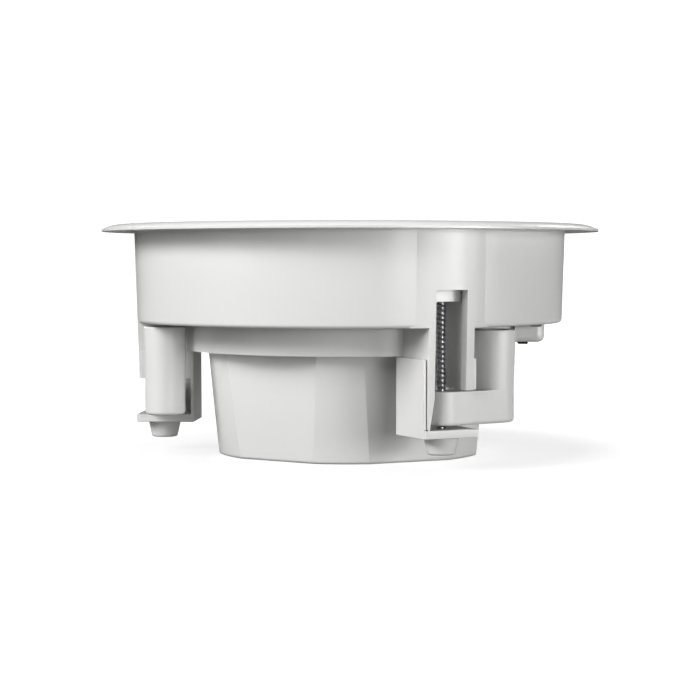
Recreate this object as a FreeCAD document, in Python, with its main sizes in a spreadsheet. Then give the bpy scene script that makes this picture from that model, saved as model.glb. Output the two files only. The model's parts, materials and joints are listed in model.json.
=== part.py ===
# Flush-mount marine speaker with three swing-out clamps, standing on its rear cover.
# Millimetres. Z is the speaker's axis, zero at the rear cover's base, up towards the front.
# X points to the terminal block; the clamps stand at 60, 180 and 300 degrees.
import FreeCAD
import Part
import Sketcher
import math
import os

SIZES = {
    # frame: flange, drum, inner ring and deck
    "flange_diameter": 230.0,
    "flange_thickness": 3.2,
    "flange_edge": 0.9,
    "flange_bevel": 8.6,
    "flange_crown_radius": 17.0,
    "root_relief": 0.6,
    "root_width": 2.8,
    "flange_overhang": 15.4,
    "drum_depth": 41.6,
    "drum_draft": 1.75,
    "drum_wall": 2.6,
    "drum_lip_radius": 1.6,
    "ring_inset": 23.6,
    "ring_step": 12.8,
    "ring_wall": 2.4,
    "deck_depth": 18.2,
    "deck_thickness": 2.6,
    "rib_thickness": 2.0,
    "rib_recess": 4.0,
    # rear cover
    "cover_depth": 47.8,
    "cover_shoulder": 8.2,
    "cover_taper": 5.6,
    "cover_edge_radius": 1.5,
    "cover_wall": 2.4,
    "cover_floor": 2.8,
    "cover_lip": 2.8,
    "cover_fit": 0.3,
    "panel_depth": 4.6,
    "panel_foot_depth": 3.2,
    "pillar_hollow_angle": 12.0,
    "pillar_hollow_foot": 12.0,
    "seal_thickness": 1.2,
    "ledge_width": 8.2,
    "ledge_thickness": 2.2,
    # clamp towers
    "clamp_inset": 12.0,
    "tower_left": 11.7,
    "tower_right": 10.0,
    "tower_wall": 3.8,
    "tower_side": 2.2,
    "pad_half_width": 18.8,
    "pad_radius": 52.0,
    "pad_root": 0.4,
    "slot_left": 8.9,
    "slot_right": 6.0,
    "slot_lead_in": 2.0,
    "slot_lead_height": 13.0,
    "slot_top": 76.5,
    "right_leg_foot": 34.1,
    "screw_boss_diameter": 12.0,
    "screw_boss_foot": 71.5,
    "screw_shelf_front": 5.7,
    # clamp screw, dog and cap
    "screw_diameter": 4.0,
    "screw_hole": 4.3,
    "screw_head_diameter": 8.2,
    "screw_head_height": 3.0,
    "screw_tip": 9.4,
    "dog_park_angle": 9.0,
    "dog_play": 0.3,
    "dog_back": 5.4,
    "dog_bore_fit": 0.06,
    "dog_post_radius": 9.1,
    "dog_post_draft": 1.6,
    "dog_post_centre": 29.0,
    "dog_post_shell": 2.6,
    "dog_post_top": 59.1,
    "dog_arm_foot": 18.9,
    "dog_arm_height": 14.4,
    "dog_edge_radius": 1.6,
    "dog_top_radius": 0.8,
    "cap_wall": 1.5,
    "cap_fit": 0.4,
    "cap_back": 15.6,
    "cap_front": 11.2,
    "cap_rib_front": 9.4,
    "cap_foot": 13.9,
    "cap_plate": 3.6,
    "cap_top_gap": 0.3,
    "knob_top_diameter": 15.2,
    "knob_length": 7.7,
    "knob_taper": 12.5,
    "knob_edge_radius": 1.2,
    # grille
    "grille_margin": 8.6,
    "grille_gap": 0.2,
    "grille_thickness": 2.0,
    "grille_skirt": 6.0,
    "grille_skirt_wall": 1.6,
    "grille_slot": 3.2,
    "grille_border": 16.4,
    "grille_boss": 46.0,
    "grille_band": 3.2,
    # woofer chassis and motor
    "basket_overlap": 5.5,
    "basket_metal": 1.4,
    "basket_depth": 47.5,
    "basket_clearance": 2.8,
    "basket_rim_drop": 5.0,
    "basket_shelf_rise": 7.5,
    "basket_land": 40.0,
    "basket_shelf": 4.9,
    "basket_window": 38.0,
    "gasket_thickness": 1.5,
    "driver_screw_offset": 1.8,
    "top_plate_thickness": 5.0,
    "top_plate_inset": 4.5,
    "magnet_clearance": 9.7,
    "magnet_hole": 44.0,
    "magnet_thickness": 17.0,
    "yoke_thickness": 5.0,
    "pole_diameter": 24.4,
    "pole_vent": 8.0,
    # woofer moving system
    "former_inner": 12.7,
    "former_wall": 0.3,
    "winding_wall": 0.4,
    "winding_height": 11.5,
    "coil_gap": 0.5,
    "former_reach": 6.0,
    "neck_rise": 5.5,
    "cone_margin": 9.8,
    "cone_rim_land": 4.2,
    "cone_metal": 0.9,
    "dust_cap_radius": 17.2,
    "dust_cap_height": 7.5,
    "dust_cap_skin": 0.8,
    "surround_roll": 10.2,
    "surround_skin": 0.7,
    "surround_lip": 2.7,
    "spider_skin": 0.6,
    "spider_wave": 1.3,
    # tweeter on its bridge
    "bridge_gap": 2.0,
    "bridge_arm_width": 9.0,
    "bridge_arm_height": 4.0,
    "bridge_foot_width": 12.0,
    "bridge_foot_height": 3.0,
    "bridge_foot_margin": 4.6,
    "bridge_riser": 3.6,
    "bridge_screw_inset": 9.6,
    "tweeter_shell_diameter": 40.0,
    "tweeter_shell_wall": 2.4,
    "tweeter_shell_depth": 13.0,
    "tweeter_cup_diameter": 31.0,
    "tweeter_cup_height": 7.0,
    "tweeter_cup_wall": 2.3,
    "tweeter_magnet_diameter": 19.0,
    "tweeter_magnet_height": 3.0,
    "dome_radius": 10.2,
    "dome_height": 3.2,
    "dome_skin": 0.4,
    "face_thickness": 2.6,
    "face_throat": 11.4,
    # small fasteners
    "small_screw": 3.2,
    "small_hole": 3.6,
    "small_pilot": 2.7,
    "small_head": 6.0,
    "small_head_height": 1.6,
    "small_boss": 7.2,
    "small_length": 11.0,
    "cover_screw_inset": 6.8,
    "recess_width": 0.8,
    # terminal block and crossover
    "terminal_foot": 51.6,
    "terminal_height": 11.4,
    "terminal_gap": 0.4,
    "terminal_length": 13.7,
    "terminal_width": 28.0,
    "terminal_corner": 4.0,
    "terminal_bottom_edge": 3.0,
    "terminal_ear": 2.4,
    "terminal_screw_spread": 40.0,
    "terminal_screw_offset": 9.3,
    "wire_hole": 3.4,
    "wire_depth": 5.0,
    "wire_spread": 13.0,
    "wire_height": 4.4,
    "button_length": 4.6,
    "button_width": 6.6,
    "button_height": 6.2,
    "button_proud": 1.0,
    "button_fit": 0.2,
    "button_well": 7.6,
    "contact_metal": 0.5,
    "contact_pin": 1.0,
    "board_thickness": 1.6,
    "board_setback": 2.0,
    "board_length": 15.6,
    "board_width": 26.0,
    "capacitor_diameter": 7.6,
    "capacitor_length": 14.0,
    "bobbin_diameter": 10.0,
    "bobbin_height": 7.6,
    # inner wiring
    "lead_diameter": 1.4,
    "lead_spacing": 2.0,
    "lead_bend": 3.0,
    "grommet_height": 70.6,
    "grommet_hole": 8.0,
    "grommet_flange": 1.2,
    "tweeter_lead_offset": 7.7,
    "tweeter_lead_inset": 5.6,
    "tweeter_lead_hole": 3.4,
}

FOLLOWING = {
    # sizes that follow from others
    "drum_diameter": "flange_diameter - 2 * flange_overhang",
    "ring_diameter": "drum_diameter - 2 * ring_inset",
    "cover_top_diameter": "ring_diameter - 2 * cover_shoulder",
    "cover_base_diameter": "cover_top_diameter - 2 * cover_taper",
    "clamp_circle": "drum_diameter - 2 * clamp_inset",
    "cap_inner": "clamp_circle / 2 - cap_back",
    "cap_outer": "clamp_circle / 2 + cap_front",
    "grille_diameter": "flange_diameter - 2 * grille_margin",
    "grille_field": "grille_diameter - 2 * grille_border",
    "basket_diameter": "ring_diameter + 2 * basket_overlap",
    "basket_throat": "ring_diameter / 2 - ring_wall - basket_clearance",
    "driver_circle": "ring_diameter + 2 * driver_screw_offset",
    "magnet_diameter": "cover_base_diameter - 2 * magnet_clearance",
    "top_plate_diameter": "magnet_diameter - 2 * top_plate_inset",
    "cone_rim": "basket_throat - cone_margin",
    "bridge_foot_outer": "drum_diameter / 2 - bridge_foot_margin",
    "bridge_circle": "drum_diameter - 2 * bridge_screw_inset",
    "cover_circle": "ring_diameter - 2 * cover_screw_inset",
    "terminal_inner": "ring_diameter / 2 + terminal_gap",
    "terminal_outer": "terminal_inner + terminal_length",
    "terminal_screw_radius": "terminal_inner + terminal_screw_offset",
    "board_inner": "terminal_inner + board_setback",
    "board_outer": "board_inner + board_length",
}

STATIONS = {"rear": 60.0, "left": 180.0, "right": 300.0}
CLAMPS = 3
PILLARS = 6


class Size:
    """A length with the sheet formula that gives it."""

    def __init__(self, value, text):
        self.value = float(value)
        self.text = text

    def __add__(self, other):
        other = size(other)
        return Size(self.value + other.value, f"({self.text} + {other.text})")

    def __radd__(self, other):
        return size(other) + self

    def __sub__(self, other):
        other = size(other)
        return Size(self.value - other.value, f"({self.text} - {other.text})")

    def __rsub__(self, other):
        return size(other) - self

    def __mul__(self, other):
        other = size(other)
        return Size(self.value * other.value, f"({self.text} * {other.text})")

    def __rmul__(self, other):
        return size(other) * self

    def __truediv__(self, other):
        other = size(other)
        return Size(self.value / other.value, f"({self.text} / {other.text})")

    def __neg__(self):
        return Size(-self.value, f"(0 - {self.text})")


def size(thing):
    return thing if isinstance(thing, Size) else Size(thing, repr(float(thing)))


def tangent(angle):
    return Size(math.tan(math.radians(angle.value)), f"tan({angle.text})")


def leg(hypotenuse, side):
    """The other side of a right triangle."""
    square = hypotenuse * hypotenuse - side * side
    return Size(math.sqrt(square.value), f"sqrt({square.text})")


doc = FreeCAD.newDocument("marine_speaker")
sheet = doc.addObject("Spreadsheet::Sheet", "Sizes")
CELLS = {name: repr(value) for name, value in SIZES.items()}
CELLS.update({name: "=" + formula for name, formula in FOLLOWING.items()})
for row, (name, entry) in enumerate(CELLS.items(), start=1):
    sheet.set(f"A{row}", name)
    sheet.setAlias(f"B{row}", name)
    sheet.set(f"B{row}", entry)
doc.recompute()
S = {name: Size(sheet.get(name), f"Sizes.{name}") for name in CELLS}


class Sizes:
    """Attribute access to the sheet's cells."""

    def __getattr__(self, name):
        return S[name]


s = Sizes()
NODES = []


def body(label, turn=0.0, shift=None, spin=0.0):
    """A new piece; turn is its station about the speaker's axis, spin its own turn at shift."""
    piece = doc.addObject("PartDesign::Body", label)
    piece.Label = label
    piece.AllowCompound = True
    z_axis = FreeCAD.Vector(0, 0, 1)
    placement = FreeCAD.Placement(FreeCAD.Vector(), FreeCAD.Rotation(z_axis, turn))
    if shift is not None:
        own = FreeCAD.Placement(FreeCAD.Vector(shift.value, 0, 0), FreeCAD.Rotation(z_axis, spin))
        placement = placement.multiply(own)
    piece.Placement = placement
    NODES.append(piece)
    return piece


def origin_feature(piece, role):
    return next(item for item in piece.Origin.OriginFeatures if item.Role == role)


def sketch(piece, plane="XY_Plane", offset=None, turn=0.0):
    """A sketch on one of the piece's own planes, moved along its normal and turned about Z."""
    drawing = piece.newObject("Sketcher::SketchObject", piece.Name + "_sketch")
    drawing.AttachmentSupport = [(origin_feature(piece, plane), "")]
    drawing.MapMode = "FlatFace"
    about = FreeCAD.Vector(0, 0, 1) if plane == "XY_Plane" else FreeCAD.Vector(0, 1, 0)
    drawing.AttachmentOffset = FreeCAD.Placement(FreeCAD.Vector(), FreeCAD.Rotation(about, turn))
    if offset is not None:
        drawing.setExpression("AttachmentOffset.Base.z", size(offset).text)
    return drawing


def fix(drawing, kind, first, formula):
    """One dimension of a sketch, tied to its formula."""
    number = drawing.addConstraint(Sketcher.Constraint(kind, *first, formula.value))
    drawing.setExpression(f"Constraints[{number}]", formula.text)


def arc_centre(start, end, radius):
    """Centre of an arc; a positive radius turns to the left."""
    middle = (start + end) / 2
    half = (end - start) / 2
    rise = math.sqrt(max(radius * radius - half.Length ** 2, 0.0))
    normal = FreeCAD.Vector(-half.y, half.x, 0).normalize()
    return middle + normal * (rise if radius > 0 else -rise)


def outline(drawing, points, closed=True):
    """An outline or an open path; a point's third entry is the radius of the arc that leads to it."""
    points = [tuple(size(entry) for entry in point) for point in points]
    places = [FreeCAD.Vector(point[0].value, point[1].value, 0) for point in points]
    starts = []
    ends = []
    count = len(points)
    segments = count if closed else count - 1
    for index in range(segments):
        start = places[index]
        end = places[(index + 1) % count]
        target = points[(index + 1) % count]
        if len(target) == 2:
            number = drawing.addGeometry(Part.LineSegment(start, end), False)
            starts.append((number, 1))
            ends.append((number, 2))
            continue
        radius = target[2].value
        centre = arc_centre(start, end, radius)
        circle = Part.Circle(centre, FreeCAD.Vector(0, 0, 1), abs(radius))
        left = radius > 0
        first = start if left else end
        last = end if left else start
        angles = [math.atan2(place.y - centre.y, place.x - centre.x) for place in (first, last)]
        number = drawing.addGeometry(Part.ArcOfCircle(circle, angles[0], angles[1]), False)
        starts.append((number, 1 if left else 2))
        ends.append((number, 2 if left else 1))
    for index in range(count if closed else segments - 1):
        following = (index + 1) % count
        drawing.addConstraint(Sketcher.Constraint("Coincident", *ends[index], *starts[following]))
    if not closed:
        starts.append(ends[-1])
    for index, point in enumerate(points):
        place = starts[index]
        for kind, axis, formula in (("DistanceX", -2, point[0]), ("DistanceY", -1, point[1])):
            if formula.text == "0.0":
                drawing.addConstraint(Sketcher.Constraint("PointOnObject", *place, axis))
            else:
                fix(drawing, kind, (-1, 1, *place), formula)
        if len(point) == 3:
            number = ends[index - 1][0]
            radius = point[2] if point[2].value > 0 else -point[2]
            fix(drawing, "Radius", (number,), radius)


def box_outline(drawing, left, right, low, high):
    outline(drawing, [(left, low), (right, low), (right, high), (left, high)])


def circle(drawing, x, y, diameter):
    x = size(x)
    y = size(y)
    place = FreeCAD.Vector(x.value, y.value, 0)
    normal = FreeCAD.Vector(0, 0, 1)
    number = drawing.addGeometry(Part.Circle(place, normal, diameter.value / 2), False)
    for kind, axis, formula in (("DistanceX", -2, x), ("DistanceY", -1, y)):
        if formula.text == "0.0":
            drawing.addConstraint(Sketcher.Constraint("PointOnObject", number, 3, axis))
        else:
            fix(drawing, kind, (-1, 1, number, 3), formula)
    fix(drawing, "Diameter", (number,), diameter)


def cross(drawing, x, y, reach, width):
    """A cross-shaped driver recess."""
    x = size(x)
    y = size(y)
    half = width / 2
    corners = [(reach, -half), (reach, half), (half, half), (half, reach), (-half, reach), (-half, half)]
    points = [(x + across, y + along) for across, along in corners]
    points += [(x - across, y - along) for across, along in corners]
    outline(drawing, points)


def feature(piece, kind, drawing, **values):
    """A feature made from a sketch, checked that it changed the piece the right way."""
    before = piece.Shape.Volume if not piece.Shape.isNull() else 0.0
    item = piece.newObject("PartDesign::" + kind, piece.Name + "_" + kind.lower())
    item.Profile = drawing
    for name, value in values.items():
        if isinstance(value, Size):
            item.setExpression(name, value.text)
        else:
            setattr(item, name, value)
    piece.Tip = item
    doc.recompute()
    change = piece.Shape.Volume - before
    removing = kind in ("Pocket", "Groove")
    if not item.isValid() or (change >= -1e-6 if removing else change <= 1e-6):
        raise RuntimeError(f"{item.Name}: {kind} changed the volume by {change:.4f}, {item.State}")
    return item


def revolve(piece, points, turn=0.0):
    drawing = sketch(piece, "XZ_Plane", turn=turn)
    outline(drawing, points)
    return feature(piece, "Revolution", drawing, ReferenceAxis=(drawing, ["V_Axis"]), Angle=360.0)


def groove(piece, loops, angle=360.0, turn=0.0):
    drawing = sketch(piece, "XZ_Plane", turn=turn)
    for points in loops:
        outline(drawing, points)
    midplane = not isinstance(angle, float)
    axis = (drawing, ["V_Axis"])
    return feature(piece, "Groove", drawing, ReferenceAxis=axis, Angle=angle, Midplane=midplane)


def pad(piece, drawing, length, down=False, **values):
    return feature(piece, "Pad", drawing, Length=length, Reversed=down, **values)


def pocket(piece, drawing, length, up=False):
    return feature(piece, "Pocket", drawing, Length=length, Reversed=up)


def ring_of(piece, originals, count):
    """Repeats features about the speaker's axis."""
    before = piece.Shape.Volume
    item = piece.newObject("PartDesign::PolarPattern", piece.Name + "_pattern")
    item.Originals = originals
    item.Axis = (origin_feature(piece, "Z_Axis"), [""])
    item.Angle = 360.0
    item.Occurrences = count
    piece.Tip = item
    doc.recompute()
    if not item.isValid() or abs(piece.Shape.Volume - before) < 1e-6:
        raise RuntimeError(f"{item.Name} repeated nothing: {item.State}")
    return item


def dress(piece, kind, amount, chosen):
    """Rounds or bevels the edges that a test picks out of the piece's own shape."""
    base = piece.Tip
    names = []
    for number, edge in enumerate(base.Shape.Edges, start=1):
        if chosen(edge):
            names.append(f"Edge{number}")
    if not names:
        raise RuntimeError(piece.Name + ": no edge to " + kind)
    item = piece.newObject("PartDesign::" + kind, piece.Name + "_" + kind.lower())
    item.Base = (base, names)
    item.setExpression("Radius" if kind == "Fillet" else "Size", amount.text)
    piece.Tip = item
    doc.recompute()
    if not item.isValid():
        raise RuntimeError(f"{item.Name}: {item.State}")
    return item


# Levels and radii shared by the pieces
z_ring = s.cover_depth
z_drum = z_ring + s.ring_step
z_seat = z_drum + s.drum_depth
z_root = z_seat + s.root_relief
z_top = z_seat + s.flange_thickness
z_ledge = z_top - s.grille_thickness
z_deck = z_seat - s.deck_depth
z_under = z_deck - s.deck_thickness
z_cover_top = z_ring + s.cover_lip
z_cover_ledge = z_cover_top + s.seal_thickness
z_cap_floor = s.cap_foot + s.cap_plate
z_cap_top = z_ring - s.cap_top_gap
z_terminal_top = s.terminal_foot + s.terminal_height
z_board_top = z_terminal_top + s.board_thickness
flange_radius = s.flange_diameter / 2
ring_outer = s.ring_diameter / 2
ring_inner = ring_outer - s.ring_wall
clamp_radius = s.clamp_circle / 2


def drum_radius(level):
    """Outside of the drum's drafted wall at a level."""
    return s.drum_diameter / 2 - (z_seat - level) * tangent(s.drum_draft)


def drum_inside(level):
    return drum_radius(level) - s.drum_wall


# Flange: the crowned rim that lies on the panel, relieved at its root, with the grille's ledge inside
flange = body("flange")
crown = z_seat + s.flange_edge
pocket_radius = s.grille_diameter / 2 + s.grille_gap
seat_inner = drum_radius(z_root) + s.root_width
revolve(flange, [
    (drum_inside(z_root), z_root),
    (seat_inner, z_root),
    (seat_inner, z_seat),
    (flange_radius, z_seat),
    (flange_radius, crown),
    (flange_radius - s.flange_bevel, z_top, s.flange_crown_radius),
    (pocket_radius, z_top),
    (pocket_radius, z_ledge),
    (drum_inside(z_root), z_ledge),
])

# Frame: drum, deck, inner ring and clamp towers in one moulding
frame = body("frame", turn=180.0)
lip = s.drum_lip_radius
revolve(frame, [
    (drum_inside(z_root), z_root),
    (drum_inside(z_deck), z_deck),
    (ring_inner, z_deck),
    (ring_inner, z_cover_ledge + s.ledge_thickness),
    (ring_inner - s.ledge_width, z_cover_ledge + s.ledge_thickness),
    (ring_inner - s.ledge_width, z_cover_ledge),
    (ring_inner, z_cover_ledge),
    (ring_inner, z_ring),
    (ring_outer, z_ring),
    (ring_outer, z_under),
    (drum_inside(z_under), z_under),
    (drum_inside(z_drum), z_drum),
    (drum_radius(z_drum) - lip, z_drum),
    (drum_radius(z_drum + lip), z_drum + lip, lip),
    (drum_radius(z_root), z_root),
])

pad_centre = (s.tower_right - s.tower_left) / 2
pad_right = pad_centre + s.pad_half_width
pad_left = pad_centre - s.pad_half_width
sections = []
for level in (z_cap_floor, z_root):
    wall = drum_radius(level)
    rooted = wall - s.pad_root
    drawing = sketch(frame, offset=level)
    outline(drawing, [
        (wall - s.tower_wall, pad_left),
        (leg(rooted, pad_left), pad_left),
        (leg(rooted, pad_right), pad_right, s.pad_radius),
        (wall - s.tower_wall, pad_right),
    ])
    sections.append(drawing)
tower_face = feature(frame, "AdditiveLoft", sections[0], Sections=sections[1:], Ruled=True)

face_inner = clamp_radius + 1.0
drawing = sketch(frame, offset=z_drum)
box_outline(drawing, face_inner, flange_radius, pad_left - 1.0, -s.tower_left)
box_outline(drawing, face_inner, flange_radius, s.tower_right, pad_right + 1.0)
tower_sides = pocket(frame, drawing, z_drum)

drawing = sketch(frame, offset=s.right_leg_foot)
box_outline(drawing, face_inner, flange_radius, 0.0, s.tower_right + 1.0)
tower_foot = pocket(frame, drawing, s.right_leg_foot)

wall_inner = ring_inner + 0.2
wall_outer = drum_radius(z_cap_floor) - s.tower_wall + 2.5
drawing = sketch(frame, offset=z_under)
box_outline(drawing, wall_inner, wall_outer, -s.tower_left, s.tower_side - s.tower_left)
left_wall = pad(frame, drawing, z_under - z_cap_floor, down=True)
drawing = sketch(frame, offset=z_under)
box_outline(drawing, wall_inner, wall_outer, s.tower_right - s.tower_side, s.tower_right)
right_wall = pad(frame, drawing, z_under - s.right_leg_foot, down=True)

drawing = sketch(frame, offset=z_under)
circle(drawing, clamp_radius, 0.0, s.screw_boss_diameter)
screw_boss = pad(frame, drawing, z_under - s.screw_boss_foot, down=True)

slot_cheek = z_cap_floor + s.slot_lead_height
drawing = sketch(frame, "YZ_Plane", offset=flange_radius)
outline(drawing, [
    (-s.slot_left - s.slot_lead_in, z_cap_floor - 1.0),
    (s.slot_right, z_cap_floor - 1.0),
    (s.slot_right, s.slot_top),
    (-s.slot_left, s.slot_top),
    (-s.slot_left, slot_cheek),
])
slot = pocket(frame, drawing, flange_radius - clamp_radius - 3.0)

drawing = sketch(frame, offset=s.slot_top + 1.0)
box_outline(drawing, clamp_radius, clamp_radius + s.screw_shelf_front, -s.slot_left - 0.5, s.slot_right + 0.5)
screw_shelf = pad(frame, drawing, s.slot_top + 1.0 - s.screw_boss_foot, down=True)

drawing = sketch(frame, offset=z_deck)
circle(drawing, clamp_radius, 0.0, s.screw_hole)
screw_hole = pocket(frame, drawing, z_deck - s.screw_boss_foot + 1.0)
towers = [tower_face, tower_sides, tower_foot, left_wall, right_wall]
towers += [screw_boss, slot, screw_shelf, screw_hole]
ring_of(frame, towers, CLAMPS)

groove(frame, [[
    (ring_outer, z_deck),
    (drum_inside(z_deck), z_deck),
    (drum_inside(z_root), z_root),
    (ring_outer, z_root),
]])

# Ribs and driver screw bosses under the deck
z_rib = z_drum + s.rib_recess
drawing = sketch(frame, offset=z_under, turn=30.0)
half_rib = s.rib_thickness / 2
box_outline(drawing, ring_outer - 1.0, drum_inside(z_drum) + 1.0, -half_rib, half_rib)
rib = pad(frame, drawing, z_under - z_rib, down=True)
drawing = sketch(frame, offset=z_under, turn=30.0)
circle(drawing, s.driver_circle / 2, 0.0, s.small_boss)
driver_boss = pad(frame, drawing, s.small_length, down=True)
drawing = sketch(frame, offset=z_deck, turn=30.0)
circle(drawing, s.driver_circle / 2, 0.0, s.small_pilot)
driver_pilot = pocket(frame, drawing, s.small_length)
ring_of(frame, [rib, driver_boss, driver_pilot], PILLARS)

# Bosses for the rear cover and for the tweeter bridge, between the clamps
drawing = sketch(frame, offset=z_cover_ledge + s.ledge_thickness, turn=60.0)
circle(drawing, s.cover_circle / 2, 0.0, s.small_boss)
cover_boss = pad(frame, drawing, s.small_length)
drawing = sketch(frame, offset=z_cover_ledge, turn=60.0)
circle(drawing, s.cover_circle / 2, 0.0, s.small_pilot)
cover_pilot = pocket(frame, drawing, s.small_length, up=True)
drawing = sketch(frame, offset=z_under, turn=60.0)
circle(drawing, s.bridge_circle / 2, 0.0, s.small_boss)
bridge_boss = pad(frame, drawing, s.small_length - s.deck_thickness - 1.0, down=True)
drawing = sketch(frame, offset=z_deck, turn=60.0)
circle(drawing, s.bridge_circle / 2, 0.0, s.small_pilot)
bridge_pilot = pocket(frame, drawing, s.small_length - s.deck_thickness)
ring_of(frame, [cover_boss, cover_pilot, bridge_boss, bridge_pilot], CLAMPS)

# Bosses for the terminal block, and the two wire passages
drawing = sketch(frame, offset=z_under)
half_spread = s.terminal_screw_spread / 2
for side in (half_spread, -half_spread):
    circle(drawing, -s.terminal_screw_radius, side, s.small_boss)
pad(frame, drawing, z_under - z_terminal_top, down=True)
drawing = sketch(frame, offset=z_terminal_top)
for side in (half_spread, -half_spread):
    circle(drawing, -s.terminal_screw_radius, side, s.small_pilot)
pocket(frame, drawing, s.small_length, up=True)
drawing = sketch(frame, "YZ_Plane", offset=-(ring_inner - 2.0))
circle(drawing, 0.0, s.grommet_height, s.grommet_hole)
pocket(frame, drawing, s.ring_wall + 3.0)
lead_radius = s.bridge_circle / 2 - s.tweeter_lead_inset
drawing = sketch(frame, offset=z_deck)
circle(drawing, -lead_radius, -s.tweeter_lead_offset, s.tweeter_lead_hole)
pocket(frame, drawing, s.deck_thickness + 1.0)

# Rear cover: a drafted bucket with six pillars between flat panels
rear_cover = body("rear_cover")
base_radius = s.cover_base_diameter / 2
pillar_radius = s.cover_top_diameter / 2
panel_top = pillar_radius - s.panel_depth
panel_base = base_radius - s.panel_foot_depth
lip_radius = ring_inner - s.cover_fit


def pillar(level):
    """Outside of the cover's pillars at a level."""
    return base_radius + (pillar_radius - base_radius) * level / z_ring


inner_top = panel_top - s.cover_wall
inner_base = panel_base - s.cover_wall
revolve(rear_cover, [
    (0.0, 0.0),
    (base_radius, 0.0),
    (pillar_radius, z_ring),
    (lip_radius, z_ring),
    (lip_radius, z_cover_top),
    (inner_top, z_cover_top),
    (inner_base, s.cover_floor),
    (0.0, s.cover_floor),
])
drawing = sketch(rear_cover, "XZ_Plane")
outline(drawing, [
    (panel_base, 0.0),
    (pillar_radius + 3.0, 0.0),
    (pillar_radius + 3.0, z_ring),
    (panel_top, z_ring),
])
panel = feature(rear_cover, "Pocket", drawing, Length=pillar_radius, Midplane=True)
ring_of(rear_cover, [panel], PILLARS)


def base_rim(item):
    """The outer edges of the cover's flat base."""
    return all(abs(vertex.Point.z) < 1e-6 for vertex in item.Vertexes)


dress(rear_cover, "Fillet", s.cover_edge_radius, base_rim)
hollow_foot = s.pillar_hollow_foot
hollow = groove(rear_cover, [[
    (inner_base - 1.0, hollow_foot),
    (pillar(hollow_foot) - s.cover_wall, hollow_foot),
    (pillar_radius - s.cover_wall, z_cover_top),
    (inner_base - 1.0, z_cover_top),
]], angle=s.pillar_hollow_angle, turn=30.0)
ring_of(rear_cover, [hollow], PILLARS)
drawing = sketch(rear_cover, offset=z_cover_top)
circle(drawing, s.cover_circle / 2, 0.0, s.small_hole)
cover_hole = pocket(rear_cover, drawing, s.cover_lip)
drawing = sketch(rear_cover, offset=z_ring)
circle(drawing, s.cover_circle / 2, 0.0, s.small_head + 0.6)
cover_sink = pocket(rear_cover, drawing, s.small_head_height, up=True)
ring_of(rear_cover, [cover_hole, cover_sink], CLAMPS)

cover_seal = body("cover_seal")
revolve(cover_seal, [
    (ring_inner - s.ledge_width + s.cover_fit, z_cover_top),
    (lip_radius, z_cover_top),
    (lip_radius, z_cover_ledge),
    (ring_inner - s.ledge_width + s.cover_fit, z_cover_ledge),
])
drawing = sketch(cover_seal, offset=z_cover_ledge)
circle(drawing, s.cover_circle / 2, 0.0, s.small_hole)
ring_of(cover_seal, [pocket(cover_seal, drawing, s.seal_thickness)], CLAMPS)


def screw_group(label, radius, count, seat, up, turn=0.0, spread=None, length=None):
    """Identical small screws: on a circle, or as a pair at plus and minus spread."""
    piece = body(label)
    reach = (s.small_length if length is None else length) - 0.6
    rows = [size(0.0)] if spread is None else [spread, -spread]
    shapes = []
    diameters = (s.small_screw * 0.8, s.small_head)
    for diameter, depth, down in zip(diameters, (reach, s.small_head_height), (not up, up)):
        drawing = sketch(piece, offset=seat, turn=turn)
        for row in rows:
            circle(drawing, radius, row, diameter)
        shapes.append(pad(piece, drawing, depth, down=down))
    far = seat - s.small_head_height if up else seat + s.small_head_height
    drawing = sketch(piece, offset=far, turn=turn)
    for row in rows:
        cross(drawing, radius, row, s.small_head * 0.32, s.recess_width)
    shapes.append(pocket(piece, drawing, s.small_head_height * 0.6, up=up))
    if count > 1:
        ring_of(piece, shapes, count)
    return piece


cover_seat = z_ring + s.small_head_height
screw_group("cover_screws", s.cover_circle / 2, CLAMPS, cover_seat, True, length=s.small_length + 1.0)

# Clamps: screw, dog and cap at each station
dog_front = s.slot_left - s.dog_play
dog_top = s.dog_arm_foot + s.dog_arm_height


def dog_bottom(item):
    """The dog's lower outer edges from the arm's flanks round the post."""
    points = [vertex.Point for vertex in item.Vertexes]
    flat = all(abs(point.z - s.dog_arm_foot.value) < 1e-4 for point in points)
    return flat and max(point.y for point in points) > s.dog_post_radius.value


def dog_top_rim(item):
    """The outer rim of the post's upper end."""
    flat = all(abs(vertex.Point.z - s.dog_post_top.value) < 1e-4 for vertex in item.Vertexes)
    return flat and item.Curve.Radius > s.dog_post_radius.value


def knob_rim(item):
    """The rim of the knob's lower end."""
    return all(abs(vertex.Point.z - (s.cap_foot - s.knob_length).value) < 1e-4 for vertex in item.Vertexes)


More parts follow.
